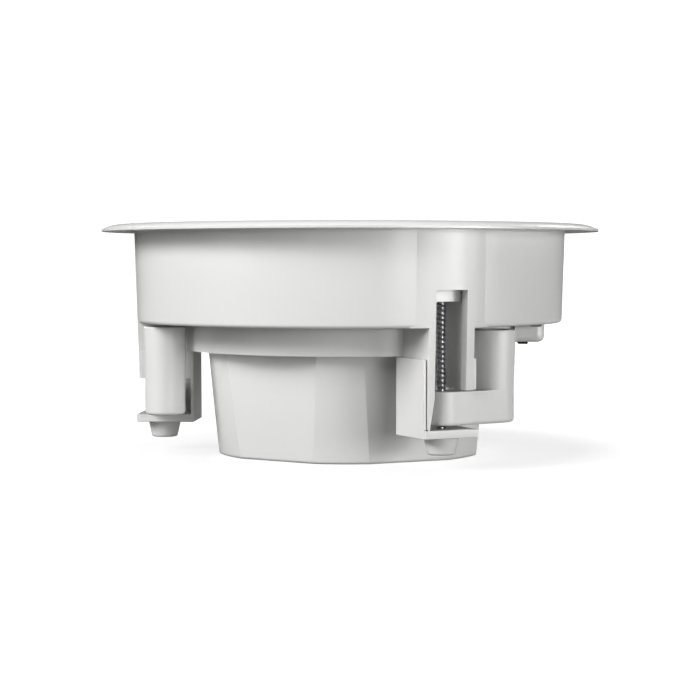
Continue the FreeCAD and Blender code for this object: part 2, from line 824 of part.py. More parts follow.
for station, angle in STATIONS.items():
    screw = body("clamp_screw_" + station, turn=angle)
    drawing = sketch(screw, offset=z_deck)
    circle(drawing, clamp_radius, 0.0, s.screw_diameter)
    pad(screw, drawing, z_deck - s.screw_tip, down=True)
    drawing = sketch(screw, offset=z_deck)
    circle(drawing, clamp_radius, 0.0, s.screw_head_diameter)
    pad(screw, drawing, s.screw_head_height)
    drawing = sketch(screw, offset=z_deck + s.screw_head_height)
    cross(drawing, clamp_radius, 0.0, s.screw_head_diameter * 0.32, s.recess_width * 1.3)
    pocket(screw, drawing, s.screw_head_height * 0.6)

    dog = body("clamp_dog_" + station, turn=angle, shift=clamp_radius, spin=SIZES["dog_park_angle"])
    reach = s.dog_post_centre
    post = s.dog_post_radius
    post_back = dog_front - post * 2
    half_arm = (dog_front + s.dog_back) / 2
    drawing = sketch(dog, offset=s.dog_arm_foot)
    outline(drawing, [
        (dog_front, 0.0, half_arm * 1.0005),
        (dog_front, reach),
        (dog_front - post, reach + post, post),
        (post_back, reach, post),
        (post_back + s.dog_post_shell, reach - s.dog_post_shell),
        (-s.dog_back, reach - post),
        (-s.dog_back, 0.0),
    ])
    pad(dog, drawing, s.dog_arm_height)
    drawing = sketch(dog, offset=dog_top)
    circle(drawing, dog_front - post, reach, post * 2)
    pad(dog, drawing, s.dog_post_top - dog_top, TaperAngle=s.dog_post_draft)
    drawing = sketch(dog, offset=s.dog_post_top)
    circle(drawing, dog_front - post, reach, (post - s.dog_post_shell) * 2)
    pocket(dog, drawing, s.dog_post_top - dog_top)
    drawing = sketch(dog, offset=dog_top)
    circle(drawing, 0.0, 0.0, s.screw_diameter + s.dog_bore_fit * 2)
    pocket(dog, drawing, s.dog_arm_height)
    dress(dog, "Fillet", s.dog_edge_radius, dog_bottom)
    dress(dog, "Fillet", s.dog_top_radius, dog_top_rim)

    cap = body("clamp_cap_" + station, turn=angle)
    cap_left = -(s.tower_left + s.cap_fit + s.cap_wall)
    cap_right = s.tower_right + s.cap_fit + s.cap_wall
    drawing = sketch(cap, offset=s.cap_foot)
    box_outline(drawing, s.cap_inner, s.cap_outer, cap_left, cap_right)
    pad(cap, drawing, s.cap_plate)
    drawing = sketch(cap, offset=z_cap_floor)
    outline(drawing, [
        (s.cap_inner, cap_left),
        (s.cap_outer, cap_left),
        (s.cap_outer, cap_left + s.cap_wall),
        (s.cap_inner + s.cap_wall, cap_left + s.cap_wall),
        (s.cap_inner + s.cap_wall, cap_right),
        (s.cap_inner, cap_right),
    ])
    pad(cap, drawing, z_cap_top - z_cap_floor)
    drawing = sketch(cap, offset=s.right_leg_foot)
    box_outline(drawing, s.cap_inner, clamp_radius + s.cap_rib_front, cap_right - s.cap_wall, cap_right)
    pad(cap, drawing, z_cap_top - s.right_leg_foot)
    drawing = sketch(cap, offset=s.cap_foot)
    circle(drawing, clamp_radius, 0.0, s.knob_top_diameter)
    pad(cap, drawing, s.knob_length, down=True, TaperAngle=-s.knob_taper)
    drawing = sketch(cap, offset=z_cap_floor)
    circle(drawing, clamp_radius, 0.0, s.screw_hole)
    pocket(cap, drawing, z_cap_floor - s.screw_tip + 0.4)
    dress(cap, "Fillet", s.knob_edge_radius, knob_rim)

# Grille: a moulded disc with three rings of radial slots, and a skirt that plugs into the drum
grille = body("grille")
grille_radius = s.grille_diameter / 2
skirt_outer = drum_inside(z_deck) - 0.3
z_skirt = z_ledge - s.grille_skirt
revolve(grille, [
    (0.0, z_ledge),
    (skirt_outer - s.grille_skirt_wall, z_ledge),
    (skirt_outer - s.grille_skirt_wall, z_skirt),
    (skirt_outer, z_skirt),
    (skirt_outer, z_ledge),
    (grille_radius, z_ledge),
    (grille_radius, z_top),
    (0.0, z_top),
])
SLOT_RINGS = (24, 36, 48)
field_inner = s.grille_boss / 2
slot_length = (s.grille_field / 2 - field_inner - s.grille_band * 2) / len(SLOT_RINGS)
for number, count in enumerate(SLOT_RINGS):
    start = field_inner + (slot_length + s.grille_band) * number
    drawing = sketch(grille, offset=z_top)
    box_outline(drawing, start, start + slot_length, -s.grille_slot / 2, s.grille_slot / 2)
    ring_of(grille, [pocket(grille, drawing, s.grille_thickness)], count)

# Woofer chassis: gasket, pressed basket with six windows, and its screws
gasket = body("basket_gasket")
basket_radius = s.basket_diameter / 2
z_flange = z_deck + s.gasket_thickness
z_rim = z_flange + s.basket_metal
revolve(gasket, [
    (ring_inner + 0.4, z_deck),
    (basket_radius, z_deck),
    (basket_radius, z_flange),
    (ring_inner + 0.4, z_flange),
])
drawing = sketch(gasket, offset=z_flange, turn=30.0)
circle(drawing, s.driver_circle / 2, 0.0, s.small_hole)
ring_of(gasket, [pocket(gasket, drawing, s.gasket_thickness)], PILLARS)

basket = body("basket")
metal = s.basket_metal
z_plate = z_flange - s.basket_depth
z_shelf = z_plate + s.basket_shelf_rise
z_throat = z_flange - s.basket_rim_drop
shelf_outer = s.basket_land + s.basket_shelf
throat = s.basket_throat
bottom_inner = s.basket_land * 0.45
revolve(basket, [
    (basket_radius, z_flange),
    (throat + 1.7, z_flange),
    (throat, z_throat),
    (shelf_outer, z_shelf - metal),
    (s.basket_land + metal, z_shelf - metal),
    (s.basket_land + metal, z_plate),
    (bottom_inner, z_plate),
    (bottom_inner, z_plate + metal),
    (s.basket_land, z_plate + metal),
    (s.basket_land, z_shelf),
    (shelf_outer - metal * 0.5, z_shelf),
    (throat - metal * 0.81, z_throat + metal * 0.58),
    (throat + 0.5, z_rim),
    (basket_radius, z_rim),
])
window_low = shelf_outer + (throat - shelf_outer) * 0.2
window_high = shelf_outer + (throat - shelf_outer) * 0.78
level_low = z_shelf + (z_throat - z_shelf) * 0.2
level_high = z_shelf + (z_throat - z_shelf) * 0.78
window = groove(basket, [[
    (window_low + 2.9, level_low - 2.4),
    (window_high + 2.9, level_high - 2.4),
    (window_high - 2.9, level_high + 1.6),
    (window_low - 2.9, level_low + 1.6),
]], angle=s.basket_window, turn=30.0)
drawing = sketch(basket, offset=z_rim, turn=30.0)
circle(drawing, s.driver_circle / 2, 0.0, s.small_hole)
ring_of(basket, [window, pocket(basket, drawing, metal)], PILLARS)
screw_group("driver_screws", s.driver_circle / 2, PILLARS, z_rim, False, turn=30.0)

# Woofer motor
z_magnet_top = z_plate - s.top_plate_thickness
z_magnet = z_magnet_top - s.magnet_thickness
z_yoke = z_magnet - s.yoke_thickness
former_outer = s.former_inner + s.former_wall
winding_outer = former_outer + s.winding_wall
plate_radius = s.top_plate_diameter / 2


def washer(label, inner, outer, low, high):
    piece = body(label)
    revolve(piece, [(inner, low), (outer, low), (outer, high), (inner, high)])
    return piece


washer("top_plate", winding_outer + s.coil_gap, plate_radius, z_magnet_top, z_plate)
washer("magnet", s.magnet_hole / 2, s.magnet_diameter / 2, z_magnet, z_magnet_top)
yoke = body("yoke")
revolve(yoke, [
    (s.pole_vent / 2, z_yoke),
    (plate_radius, z_yoke),
    (plate_radius, z_magnet),
    (s.pole_diameter / 2, z_magnet),
    (s.pole_diameter / 2, z_plate + 0.5),
    (s.pole_vent / 2, z_plate + 0.5),
])

# Woofer moving system
z_neck = z_shelf + s.neck_rise
cone_rise = s.cone_metal * 1.3
land_inner = s.cone_rim - s.cone_rim_land
washer("voice_coil_former", s.former_inner, former_outer, z_magnet_top - s.former_reach, z_neck + cone_rise)
z_winding = (z_plate + z_magnet_top) / 2 - s.winding_height / 2
washer("voice_coil", former_outer, winding_outer, z_winding, z_winding + s.winding_height)
cone = body("cone")
revolve(cone, [
    (former_outer, z_neck),
    (land_inner, z_rim - s.cone_metal),
    (s.cone_rim, z_rim - s.cone_metal),
    (s.cone_rim, z_rim),
    (land_inner - 0.6, z_rim),
    (former_outer, z_neck + cone_rise),
])
cone_slope = (z_rim - z_neck - cone_rise) / (land_inner - 0.6 - former_outer)
cap_radius = s.dust_cap_radius
z_cap_edge = z_neck + cone_rise + (cap_radius - former_outer) * cone_slope
cap_height = s.dust_cap_height


def ball(radius, height):
    """Radius of the ball that a cap of this radius and height is cut from."""
    return (radius * radius + height * height) / (height * 2)


dust_cap = body("dust_cap")
cap_inside = cap_radius - s.dust_cap_skin
cap_hollow = cap_height - s.dust_cap_skin
revolve(dust_cap, [
    (0.0, z_cap_edge + cap_hollow),
    (cap_inside, z_cap_edge, -ball(cap_inside, cap_hollow)),
    (cap_radius, z_cap_edge),
    (0.0, z_cap_edge + cap_height, ball(cap_radius, cap_height)),
])
surround = body("surround")
skin = s.surround_skin
roll_inner = s.cone_rim + 0.1
roll_outer = roll_inner + s.surround_roll
roll_ball = s.surround_roll * 0.52
revolve(surround, [
    (s.cone_rim - s.surround_lip, z_rim),
    (roll_inner + skin, z_rim),
    (roll_outer - skin, z_rim, skin - roll_ball),
    (roll_outer + s.surround_lip, z_rim),
    (roll_outer + s.surround_lip, z_rim + skin),
    (roll_outer, z_rim + skin),
    (roll_inner, z_rim + skin, roll_ball),
    (s.cone_rim - s.surround_lip, z_rim + skin),
])
spider = body("spider")
spider_skin = s.spider_skin
WAVES = 4
wave_pitch = (s.basket_land - former_outer) / (WAVES * 2)
lower = [(former_outer, z_shelf)]
for turn in range(1, WAVES * 2):
    crest = s.spider_wave if turn % 2 else size(0.0)
    lower.append((former_outer + wave_pitch * turn, z_shelf + crest))
lower.append((s.basket_land + 0.3, z_shelf))
lower.append((shelf_outer - metal * 0.5 - 0.3, z_shelf))
upper = [(across, level + spider_skin) for across, level in reversed(lower)]
revolve(spider, lower + upper)

# Tweeter on a three-armed bridge over the cone
bridge = body("tweeter_bridge")
z_bridge = z_ledge - s.bridge_gap
shell_radius = s.tweeter_shell_diameter / 2
shell_inner = shell_radius - s.tweeter_shell_wall
z_shell = z_bridge - s.tweeter_shell_depth
z_tweeter = z_shell + s.tweeter_shell_wall
revolve(bridge, [
    (0.0, z_shell),
    (shell_radius - 1.5, z_shell),
    (shell_radius, z_shell + 1.5),
    (shell_radius, z_bridge),
    (shell_inner, z_bridge),
    (shell_inner, z_tweeter),
    (0.0, z_tweeter),
])
foot_inner = basket_radius + 0.3
half_arm = s.bridge_arm_width / 2
half_foot = s.bridge_foot_width / 2
drawing = sketch(bridge, offset=z_bridge)
box_outline(drawing, shell_inner + 1.0, foot_inner + s.bridge_riser, -half_arm, half_arm)
arm = pad(bridge, drawing, s.bridge_arm_height, down=True)
drawing = sketch(bridge, offset=z_deck)
box_outline(drawing, foot_inner, foot_inner + s.bridge_riser, -half_arm, half_arm)
riser = pad(bridge, drawing, z_bridge - z_deck)
drawing = sketch(bridge, offset=z_deck)
box_outline(drawing, foot_inner, s.bridge_foot_outer, -half_foot, half_foot)
foot = pad(bridge, drawing, s.bridge_foot_height)
drawing = sketch(bridge, offset=z_deck + s.bridge_foot_height)
circle(drawing, s.bridge_circle / 2, 0.0, s.small_hole)
foot_hole = pocket(bridge, drawing, s.bridge_foot_height)
ring_of(bridge, [arm, riser, foot, foot_hole], CLAMPS)
bridge_seat = z_deck + s.bridge_foot_height
screw_group("bridge_screws", s.bridge_circle / 2, CLAMPS, bridge_seat, False)

tweeter_cup = body("tweeter_cup")
cup_radius = s.tweeter_cup_diameter / 2
cup_wall = s.tweeter_cup_wall
z_cup = z_tweeter + s.tweeter_cup_height
z_cup_floor = z_tweeter + cup_wall
revolve(tweeter_cup, [
    (0.0, z_tweeter),
    (cup_radius, z_tweeter),
    (cup_radius, z_cup),
    (cup_radius - cup_wall, z_cup),
    (cup_radius - cup_wall, z_cup_floor),
    (0.0, z_cup_floor),
])
z_pole = z_cup_floor + s.tweeter_magnet_height
magnet_radius = s.tweeter_magnet_diameter / 2
washer("tweeter_magnet", 0.0, magnet_radius, z_cup_floor, z_pole)
washer("tweeter_pole_plate", 0.0, magnet_radius, z_pole, z_cup)
dome = body("tweeter_dome")
skin = s.dome_skin
height = s.dome_height
dome_radius = s.dome_radius
z_dome = z_cup + skin
revolve(dome, [
    (dome_radius - skin, z_cup, -ball(dome_radius - skin, height)),
    (cup_radius, z_cup),
    (cup_radius, z_dome),
    (dome_radius, z_dome),
    (0.0, z_dome + height, ball(dome_radius, height)),
    (0.0, z_dome + height - skin),
])
face = body("tweeter_face")
revolve(face, [
    (s.face_throat, z_dome),
    (shell_inner - 0.1, z_dome),
    (shell_inner - 0.1, z_dome + s.face_thickness),
    (s.face_throat + 2.4, z_dome + s.face_thickness),
])

# Terminal block with two push buttons, spring contacts and the crossover above it
block = body("terminal_block")
half_block = s.terminal_width / 2
corner = s.terminal_corner
drawing = sketch(block, offset=s.terminal_foot)
outline(drawing, [
    (s.terminal_inner, -half_block),
    (s.terminal_outer - corner, -half_block),
    (s.terminal_outer, corner - half_block, corner),
    (s.terminal_outer, half_block - corner),
    (s.terminal_outer - corner, half_block, corner),
    (s.terminal_inner, half_block),
])
pad(block, drawing, s.terminal_height)


def bottom_rim(item):
    """The curved and straight outer edges of the block's bottom face."""
    points = [vertex.Point for vertex in item.Vertexes]
    flat = all(abs(point.z - s.terminal_foot.value) < 1e-4 for point in points)
    return flat and max(point.x for point in points) > s.terminal_inner.value + 1.0


dress(block, "Fillet", s.terminal_bottom_edge, bottom_rim)
drawing = sketch(block, offset=z_terminal_top)
half_ear = half_spread + s.small_boss / 2
ear_inner = s.terminal_screw_radius - s.small_boss / 2
ear_outer = s.terminal_screw_radius + s.small_boss / 2
box_outline(drawing, ear_inner, ear_outer, -half_ear, half_ear)
pad(block, drawing, s.terminal_ear, down=True)
drawing = sketch(block, offset=z_terminal_top)
for side in (half_spread, -half_spread):
    circle(drawing, s.terminal_screw_radius, side, s.small_hole)
pocket(block, drawing, s.terminal_ear)
half_wire = s.wire_spread / 2
button_inner = s.terminal_inner + 1.6
button_outer = button_inner + s.button_length
well = s.button_fit
drawing = sketch(block, offset=s.terminal_foot)
for side in (half_wire, -half_wire):
    low = side - s.button_width / 2 - well
    high = side + s.button_width / 2 + well
    box_outline(drawing, button_inner - well, button_outer + well, low, high)
pocket(block, drawing, s.button_well, up=True)
pin = s.contact_pin
pin_inner = button_inner + 0.6
z_well = s.terminal_foot + s.button_well
drawing = sketch(block, offset=z_terminal_top)
for side in (half_wire, -half_wire):
    box_outline(drawing, pin_inner - 0.1, pin_inner + pin + 0.1, side - pin / 2 - 0.1, side + pin / 2 + 0.1)
pocket(block, drawing, z_terminal_top - z_well + 0.1)
z_wire = s.terminal_foot + s.wire_height
drawing = sketch(block, "YZ_Plane", offset=s.terminal_outer)
for side in (half_wire, -half_wire):
    circle(drawing, side, z_wire, s.wire_hole)
pocket(block, drawing, s.wire_depth)

contacts = body("terminal_contacts")
drawing = sketch(contacts, offset=z_well)
for side in (half_wire, -half_wire):
    box_outline(drawing, button_inner, button_outer, side - s.button_width / 2, side + s.button_width / 2)
pad(contacts, drawing, s.contact_metal, down=True)
drawing = sketch(contacts, offset=z_well)
for side in (half_wire, -half_wire):
    box_outline(drawing, pin_inner, pin_inner + pin, side - pin / 2, side + pin / 2)
pad(contacts, drawing, z_terminal_top - z_well)

for label, sign in (("terminal_button_plus", 1.0), ("terminal_button_minus", -1.0)):
    button = body(label)
    drawing = sketch(button, offset=s.terminal_foot - s.button_proud)
    side = half_wire * sign
    low = side - s.button_width / 2
    high = side + s.button_width / 2
    box_outline(drawing, button_inner, button_outer, low, high)
    pad(button, drawing, s.button_height)

ear_seat = z_terminal_top - s.terminal_ear
screw_group("terminal_screws", s.terminal_screw_radius, 1, ear_seat, True, spread=half_spread)

board = body("crossover_board")
half_board = s.board_width / 2
drawing = sketch(board, offset=z_terminal_top)
box_outline(drawing, s.board_inner, s.board_outer, -half_board, half_board)
pad(board, drawing, s.board_thickness)
capacitor = doc.addObject("Part::Cylinder", "crossover_capacitor")
capacitor.Label = "crossover_capacitor"
can_radius = s.capacitor_diameter / 2
capacitor.setExpression("Radius", can_radius.text)
capacitor.setExpression("Height", s.capacitor_length.text)
can_x = s.board_outer - can_radius - 0.4
can_start = half_board - 0.5 - s.capacitor_length
along_y = FreeCAD.Rotation(FreeCAD.Vector(1, 0, 0), -90)
capacitor.Placement = FreeCAD.Placement(FreeCAD.Vector(0, 0, 0), along_y)
capacitor.setExpression("Placement.Base.x", can_x.text)
capacitor.setExpression("Placement.Base.y", can_start.text)
capacitor.setExpression("Placement.Base.z", (z_board_top + can_radius).text)
NODES.append(capacitor)
coil = body("crossover_coil", shift=s.board_inner + s.bobbin_diameter / 2 + 0.4)
coil.Placement.Base.y = -(SIZES["board_width"] - SIZES["bobbin_diameter"]) / 2 + 0.4
bobbin = s.bobbin_diameter / 2
revolve(coil, [
    (0.0, z_board_top),
    (bobbin, z_board_top),
    (bobbin, z_board_top + 0.9),
    (bobbin - 0.7, z_board_top + 0.9),
    (bobbin - 0.7, z_board_top + s.bobbin_height - 0.9),
    (bobbin, z_board_top + s.bobbin_height - 0.9),
    (bobbin, z_board_top + s.bobbin_height),
    (0.0, z_board_top + s.bobbin_height),
])

# Inner wiring: a grommet in the inner ring and the two pairs of leads
grommet = body("wire_grommet")
grommet_radius = s.grommet_hole / 2
for start, depth, diameter in (
    (ring_outer, s.grommet_flange, s.grommet_hole + 2.4),
    (ring_inner - 0.3, s.ring_wall + 0.3, s.grommet_hole - 0.2),
    (ring_inner - 0.3 - s.grommet_flange, s.grommet_flange, s.grommet_hole + 2.4),
):
    drawing = sketch(grommet, "YZ_Plane", offset=start)
    circle(drawing, 0.0, s.grommet_height, diameter)
    pad(grommet, drawing, depth)
drawing = sketch(grommet, "YZ_Plane", offset=ring_outer + s.grommet_flange)
half_lead = s.lead_spacing / 2
for side in (half_lead, -half_lead):
    circle(drawing, side, s.grommet_height, s.lead_diameter + 0.1)
pocket(grommet, drawing, s.ring_wall + s.grommet_flange * 2 + 1.0)


def lead_pair(label, start_x, start_z, bend_z, end_x, rows):
    """Two leads that rise, bend inwards and run level."""
    piece = body(label)
    bend = s.lead_bend
    for row in rows:
        path = sketch(piece, "XZ_Plane", offset=-row)
        outline(path, [
            (start_x, start_z),
            (start_x, bend_z - bend),
            (start_x - bend, bend_z, bend),
            (end_x, bend_z),
        ], closed=False)
        round_section = sketch(piece, offset=start_z)
        circle(round_section, start_x, row, s.lead_diameter)
        doc.recompute()
        feature(piece, "AdditivePipe", round_section, Spine=(path, ["Edge1", "Edge2", "Edge3"]))
    return piece


lead_x = ring_outer + s.grommet_flange + s.lead_bend + 0.8
basket_wall_z = (s.grommet_height - (z_shelf - metal)) / (z_throat - z_shelf + metal)
basket_slope = (throat - shelf_outer) / (z_throat - z_shelf + metal)
lead_end = shelf_outer + (throat - shelf_outer) * basket_wall_z + s.lead_diameter / 2 * basket_slope + 0.03
lead_pair("woofer_leads", lead_x, z_board_top, s.grommet_height, lead_end, (half_lead, -half_lead))
twin = s.lead_diameter / 2 + 0.02
tweeter_rows = (s.tweeter_lead_offset - twin, s.tweeter_lead_offset + twin)
z_lead = z_bridge - s.bridge_arm_height / 2
tweeter_lead_end = leg(shell_radius, s.tweeter_lead_offset - twin - s.lead_diameter / 2) + 0.02
lead_pair("tweeter_leads", lead_radius, z_board_top, z_lead, tweeter_lead_end, tweeter_rows)

names = set()
for item in NODES:
    shape = item.Shape
    bad = [state for state in item.State if state in ("Invalid", "Error")]
    if bad or shape.isNull() or not shape.isValid() or shape.Volume < 1e-3 or item.Label in names:
        raise RuntimeError(f"{item.Label}: {item.State}, volume {shape.Volume:.3f}")
    names.add(item.Label)
for item in doc.Objects:
    if "Invalid" in item.State or "Error" in item.State:
        raise RuntimeError(f"{item.Name}: {item.State}")
os.makedirs("parts", exist_ok=True)
for item in NODES:
    item.Shape.exportStep("parts/" + item.Label + ".step")
print(len(NODES), "pieces")
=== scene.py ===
"""Looks of a flush-mount marine speaker: rounded mouldings, threads, screws, finishes and stage."""
import json
import math

import bmesh
import bpy
from mathutils import Matrix, Vector


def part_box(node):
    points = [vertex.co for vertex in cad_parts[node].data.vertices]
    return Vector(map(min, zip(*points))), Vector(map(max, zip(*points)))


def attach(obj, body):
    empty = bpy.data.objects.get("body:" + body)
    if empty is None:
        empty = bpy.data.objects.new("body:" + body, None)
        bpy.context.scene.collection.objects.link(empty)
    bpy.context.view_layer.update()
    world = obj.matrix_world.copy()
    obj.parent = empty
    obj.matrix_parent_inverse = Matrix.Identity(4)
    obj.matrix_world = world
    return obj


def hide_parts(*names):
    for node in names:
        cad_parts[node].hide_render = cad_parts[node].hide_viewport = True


bl_info = {
    "name": "Marine speaker dressing",
    "version": (1, 0, 0),
    "blender": (4, 5, 0),
    "location": "View3D > Sidebar > Speaker",
    "description": "Rounded mouldings, threads, screws, finishes and stage for a flush-mount speaker",
    "category": "Object",
}

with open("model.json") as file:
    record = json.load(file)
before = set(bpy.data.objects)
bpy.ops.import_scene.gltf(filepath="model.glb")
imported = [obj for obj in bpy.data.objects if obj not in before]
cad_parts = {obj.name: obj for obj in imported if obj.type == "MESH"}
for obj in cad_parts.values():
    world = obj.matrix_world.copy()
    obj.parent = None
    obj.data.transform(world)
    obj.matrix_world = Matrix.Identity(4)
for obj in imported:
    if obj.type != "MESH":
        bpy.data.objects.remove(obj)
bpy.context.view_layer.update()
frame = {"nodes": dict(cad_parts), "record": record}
NODES = frame["nodes"]
SLOT_OF = {row["node"]: row["material_slot"] for row in frame["record"]["subparts"]}
BODY_OF = {
    node: body
    for body, members in frame["record"]["behaviour"]["bodies"].items()
    for node in members
}
AXIS_OF = {
    row["name"]: row["pos_m"]
    for row in frame["record"]["behaviour"]["joints"]
    if "pos_m" in row
}
STATIONS = ("rear", "left", "right")
MM = 0.001
WHITE = (1.0, 1.0, 1.0, 1.0)


class MouldingSizes(bpy.types.PropertyGroup):
    """Rounding of the moulded edges and the caps' guide walls."""

    edge_round: bpy.props.FloatProperty(
        name="Edge round", description="Radius on the clamp caps' outer edges",
        default=0.3 * MM, unit="LENGTH", precision=5)
    fine_round: bpy.props.FloatProperty(
        name="Fine round", description="Radius on the terminal's edges",
        default=0.3 * MM, unit="LENGTH", precision=5)
    wall_front: bpy.props.FloatProperty(
        name="Cap wall front", description="From the speaker's axis to the front of a cap's guide wall",
        default=96.5 * MM, unit="LENGTH", precision=5)
    crease_angle: bpy.props.FloatProperty(
        name="Crease angle", description="Edges sharper than this are rounded",
        default=math.radians(38), subtype="ANGLE")


class FastenerSizes(bpy.types.PropertyGroup):
    """Threads and heads of the screws."""

    thread_pitch: bpy.props.FloatProperty(
        name="Thread pitch", description="Rise of the clamp screws' thread in one turn",
        default=2.05 * MM, unit="LENGTH", precision=5)
    thread_depth: bpy.props.FloatProperty(
        name="Thread depth", description="Height of the clamp screws' thread over its core",
        default=0.5 * MM, unit="LENGTH", precision=5)
    head_crown: bpy.props.FloatProperty(
        name="Head crown", description="Share of a screw head's height that is domed",
        default=0.55, min=0.1, max=0.9, subtype="FACTOR")
    wire: bpy.props.FloatProperty(
        name="Wire", description="Diameter of the coils' copper wire",
        default=0.55 * MM, unit="LENGTH", precision=5)


def colour(name, description, value):
    """A base colour that the user may change."""
    return bpy.props.FloatVectorProperty(
        name=name, description=description, default=value, size=3, min=0.0, max=1.0, subtype="COLOR")


class FinishColours(bpy.types.PropertyGroup):
    """Base colours of the finishes, one for each material slot."""

    white_plastic: colour("White plastic", "Mouldings, grille and clamps", (0.79, 0.79, 0.793))
    screw_steel: colour("Screw steel", "Clamp screws and small screws", (0.22, 0.22, 0.23))
    black_plastic: colour("Black plastic", "Bridge, tweeter face and one button", (0.022, 0.022, 0.024))
    red_plastic: colour("Red plastic", "The plus button", (0.50, 0.02, 0.018))
    basket_paint: colour("Basket paint", "Powder coat on the basket", (0.03, 0.03, 0.032))
    zinc_steel: colour("Zinc steel", "Plates and cups of the motors", (0.62, 0.61, 0.57))
    ferrite: colour("Ferrite", "Woofer magnet", (0.055, 0.056, 0.06))
    nickel: colour("Nickel", "Tweeter magnet", (0.66, 0.64, 0.60))
    poly_cone: colour("Cone", "Woofer cone and dust cap", (0.34, 0.345, 0.35))
    rubber_black: colour("Rubber", "Surround, gaskets and grommet", (0.018, 0.018, 0.018))
    spider_cloth: colour("Spider cloth", "Resin-treated spider", (0.46, 0.33, 0.14))
    former_foil: colour("Former foil", "Voice coil former", (0.75, 0.75, 0.76))
    copper: colour("Copper", "Windings and contacts", (0.62, 0.28, 0.12))
    dome_silk: colour("Dome silk", "Tweeter dome", (0.10, 0.10, 0.11))
    board_green: colour("Board", "Crossover board", (0.02, 0.15, 0.06))
    can_sleeve: colour("Can sleeve", "Capacitor sleeve", (0.03, 0.05, 0.20))
    lead_sleeve: colour("Lead sleeve", "Insulation of the leads", (0.06, 0.06, 0.06))


class StageSizes(bpy.types.PropertyGroup):
    """Camera, floor and lights."""

    azimuth: bpy.props.FloatProperty(
        name="Camera azimuth", description="Camera's turn about the speaker's axis",
        default=math.radians(3.65), subtype="ANGLE")
    distance: bpy.props.FloatProperty(
        name="Camera distance", description="From the speaker's axis", default=0.865, unit="LENGTH")
    eye: bpy.props.FloatProperty(
        name="Eye height", description="Camera's height over the floor", default=0.0882, unit="LENGTH")
    aim: bpy.props.FloatProperty(
        name="Aim height", description="Height on the axis in the picture's middle",
        default=0.0471, unit="LENGTH")
    lens: bpy.props.FloatProperty(
        name="Lens", description="Focal length for a 36 mm square frame", default=95.1, unit="CAMERA")
    key: bpy.props.FloatProperty(
        name="Key light", description="Power of the lamps at the left", default=21.0, unit="POWER")
    side: bpy.props.FloatProperty(
        name="Side light", description="Power of the low lamps at the right",
        default=17.0, unit="POWER")
    top: bpy.props.FloatProperty(
        name="Top light", description="Power of the lamp overhead", default=11.0, unit="POWER")
    back: bpy.props.FloatProperty(
        name="Back light", description="Power of the lamps behind the speaker",
        default=14.0, unit="POWER")
    fill: bpy.props.FloatProperty(
        name="Floor fill", description="Glow of the floor as the speaker sees it", default=0.11)
    ambient: bpy.props.FloatProperty(
        name="Ambient", description="Strength of the surrounding light", default=0.01)
    exposure: bpy.props.FloatProperty(
        name="Exposure", description="Stops by which the picture is brightened", default=0.12)
    gamma: bpy.props.FloatProperty(
        name="Gamma", description="Gamma of the picture; below 1 it deepens the shadows", default=0.78)


GROUPS = (
    ("speaker_moulding", MouldingSizes),
    ("speaker_fasteners", FastenerSizes),
    ("speaker_colours", FinishColours),
    ("speaker_stage", StageSizes),
)


def settings(name):
    """One of the scene's groups of values."""
    return getattr(bpy.context.scene, name)


def station_turn(station):
    """A clamp's angle about the speaker's axis."""
    across, along, _ = AXIS_OF["dog_" + station + "_swing"]
    return math.atan2(along, across)


# Meshes

MERGE_GAP = 0.002 * MM
FLAT_ANGLE = math.radians(0.25)
ROUND_SEGMENTS = 2
FLAT_FACE_WEIGHT = 80


def show(name, mesh):
    """A finished piece at the origin."""
    piece = bpy.data.objects.new(name, mesh)
    bpy.context.scene.collection.objects.link(piece)
    return piece


def plain_mesh(piece, name):
    """The piece's mesh with its modifiers worked in and taken off."""
    bpy.context.view_layer.update()
    shaped = piece.evaluated_get(bpy.context.evaluated_depsgraph_get())
    mesh = bpy.data.meshes.new_from_object(shaped)
    mesh.name = name
    piece.modifiers.clear()
    old = piece.data
    piece.data = mesh
    bpy.data.meshes.remove(old)
    return mesh


def outline_mesh(node):
    """A node's surface without doubled points and without the cuts across flat faces."""
    work = bmesh.new()
    work.from_mesh(NODES[node].data)
    bmesh.ops.remove_doubles(work, verts=work.verts, dist=MERGE_GAP)
    bmesh.ops.dissolve_limit(
        work, angle_limit=FLAT_ANGLE, verts=work.verts[:], edges=work.edges[:])
    work.verts.index_update()
    points = [point.co[:] for point in work.verts]
    faces = [[point.index for point in face.verts] for face in work.faces]
    work.free()
    mesh = bpy.data.meshes.new(node + "_outline")
    mesh.from_pydata(points, [], faces)
    mesh.update()
    return mesh


def block(low, high, turn):
    """A box between two corners, turned about the speaker's axis."""
    work = bmesh.new()
    bmesh.ops.create_cube(work, size=1.0)
    middle = (Vector(low) + Vector(high)) / 2
    size = Vector(high) - Vector(low)
    turned = Matrix.Rotation(turn, 4, "Z") @ Matrix.Translation(middle)
    bmesh.ops.transform(work, matrix=turned @ Matrix.Diagonal((*size, 1.0)), verts=work.verts)
    mesh = bpy.data.meshes.new("block")
    work.to_mesh(mesh)
    work.free()
    return show("block", mesh)


def take_out(piece, cutter, crossing=False):
    """Cuts the cutter's space out of the piece; crossing is for a cutter of overlapping boxes."""
    cut = piece.modifiers.new("cut", "BOOLEAN")
    cut.operation = "DIFFERENCE"
    cut.solver = "EXACT"
    cut.use_self = crossing
    cut.object = cutter


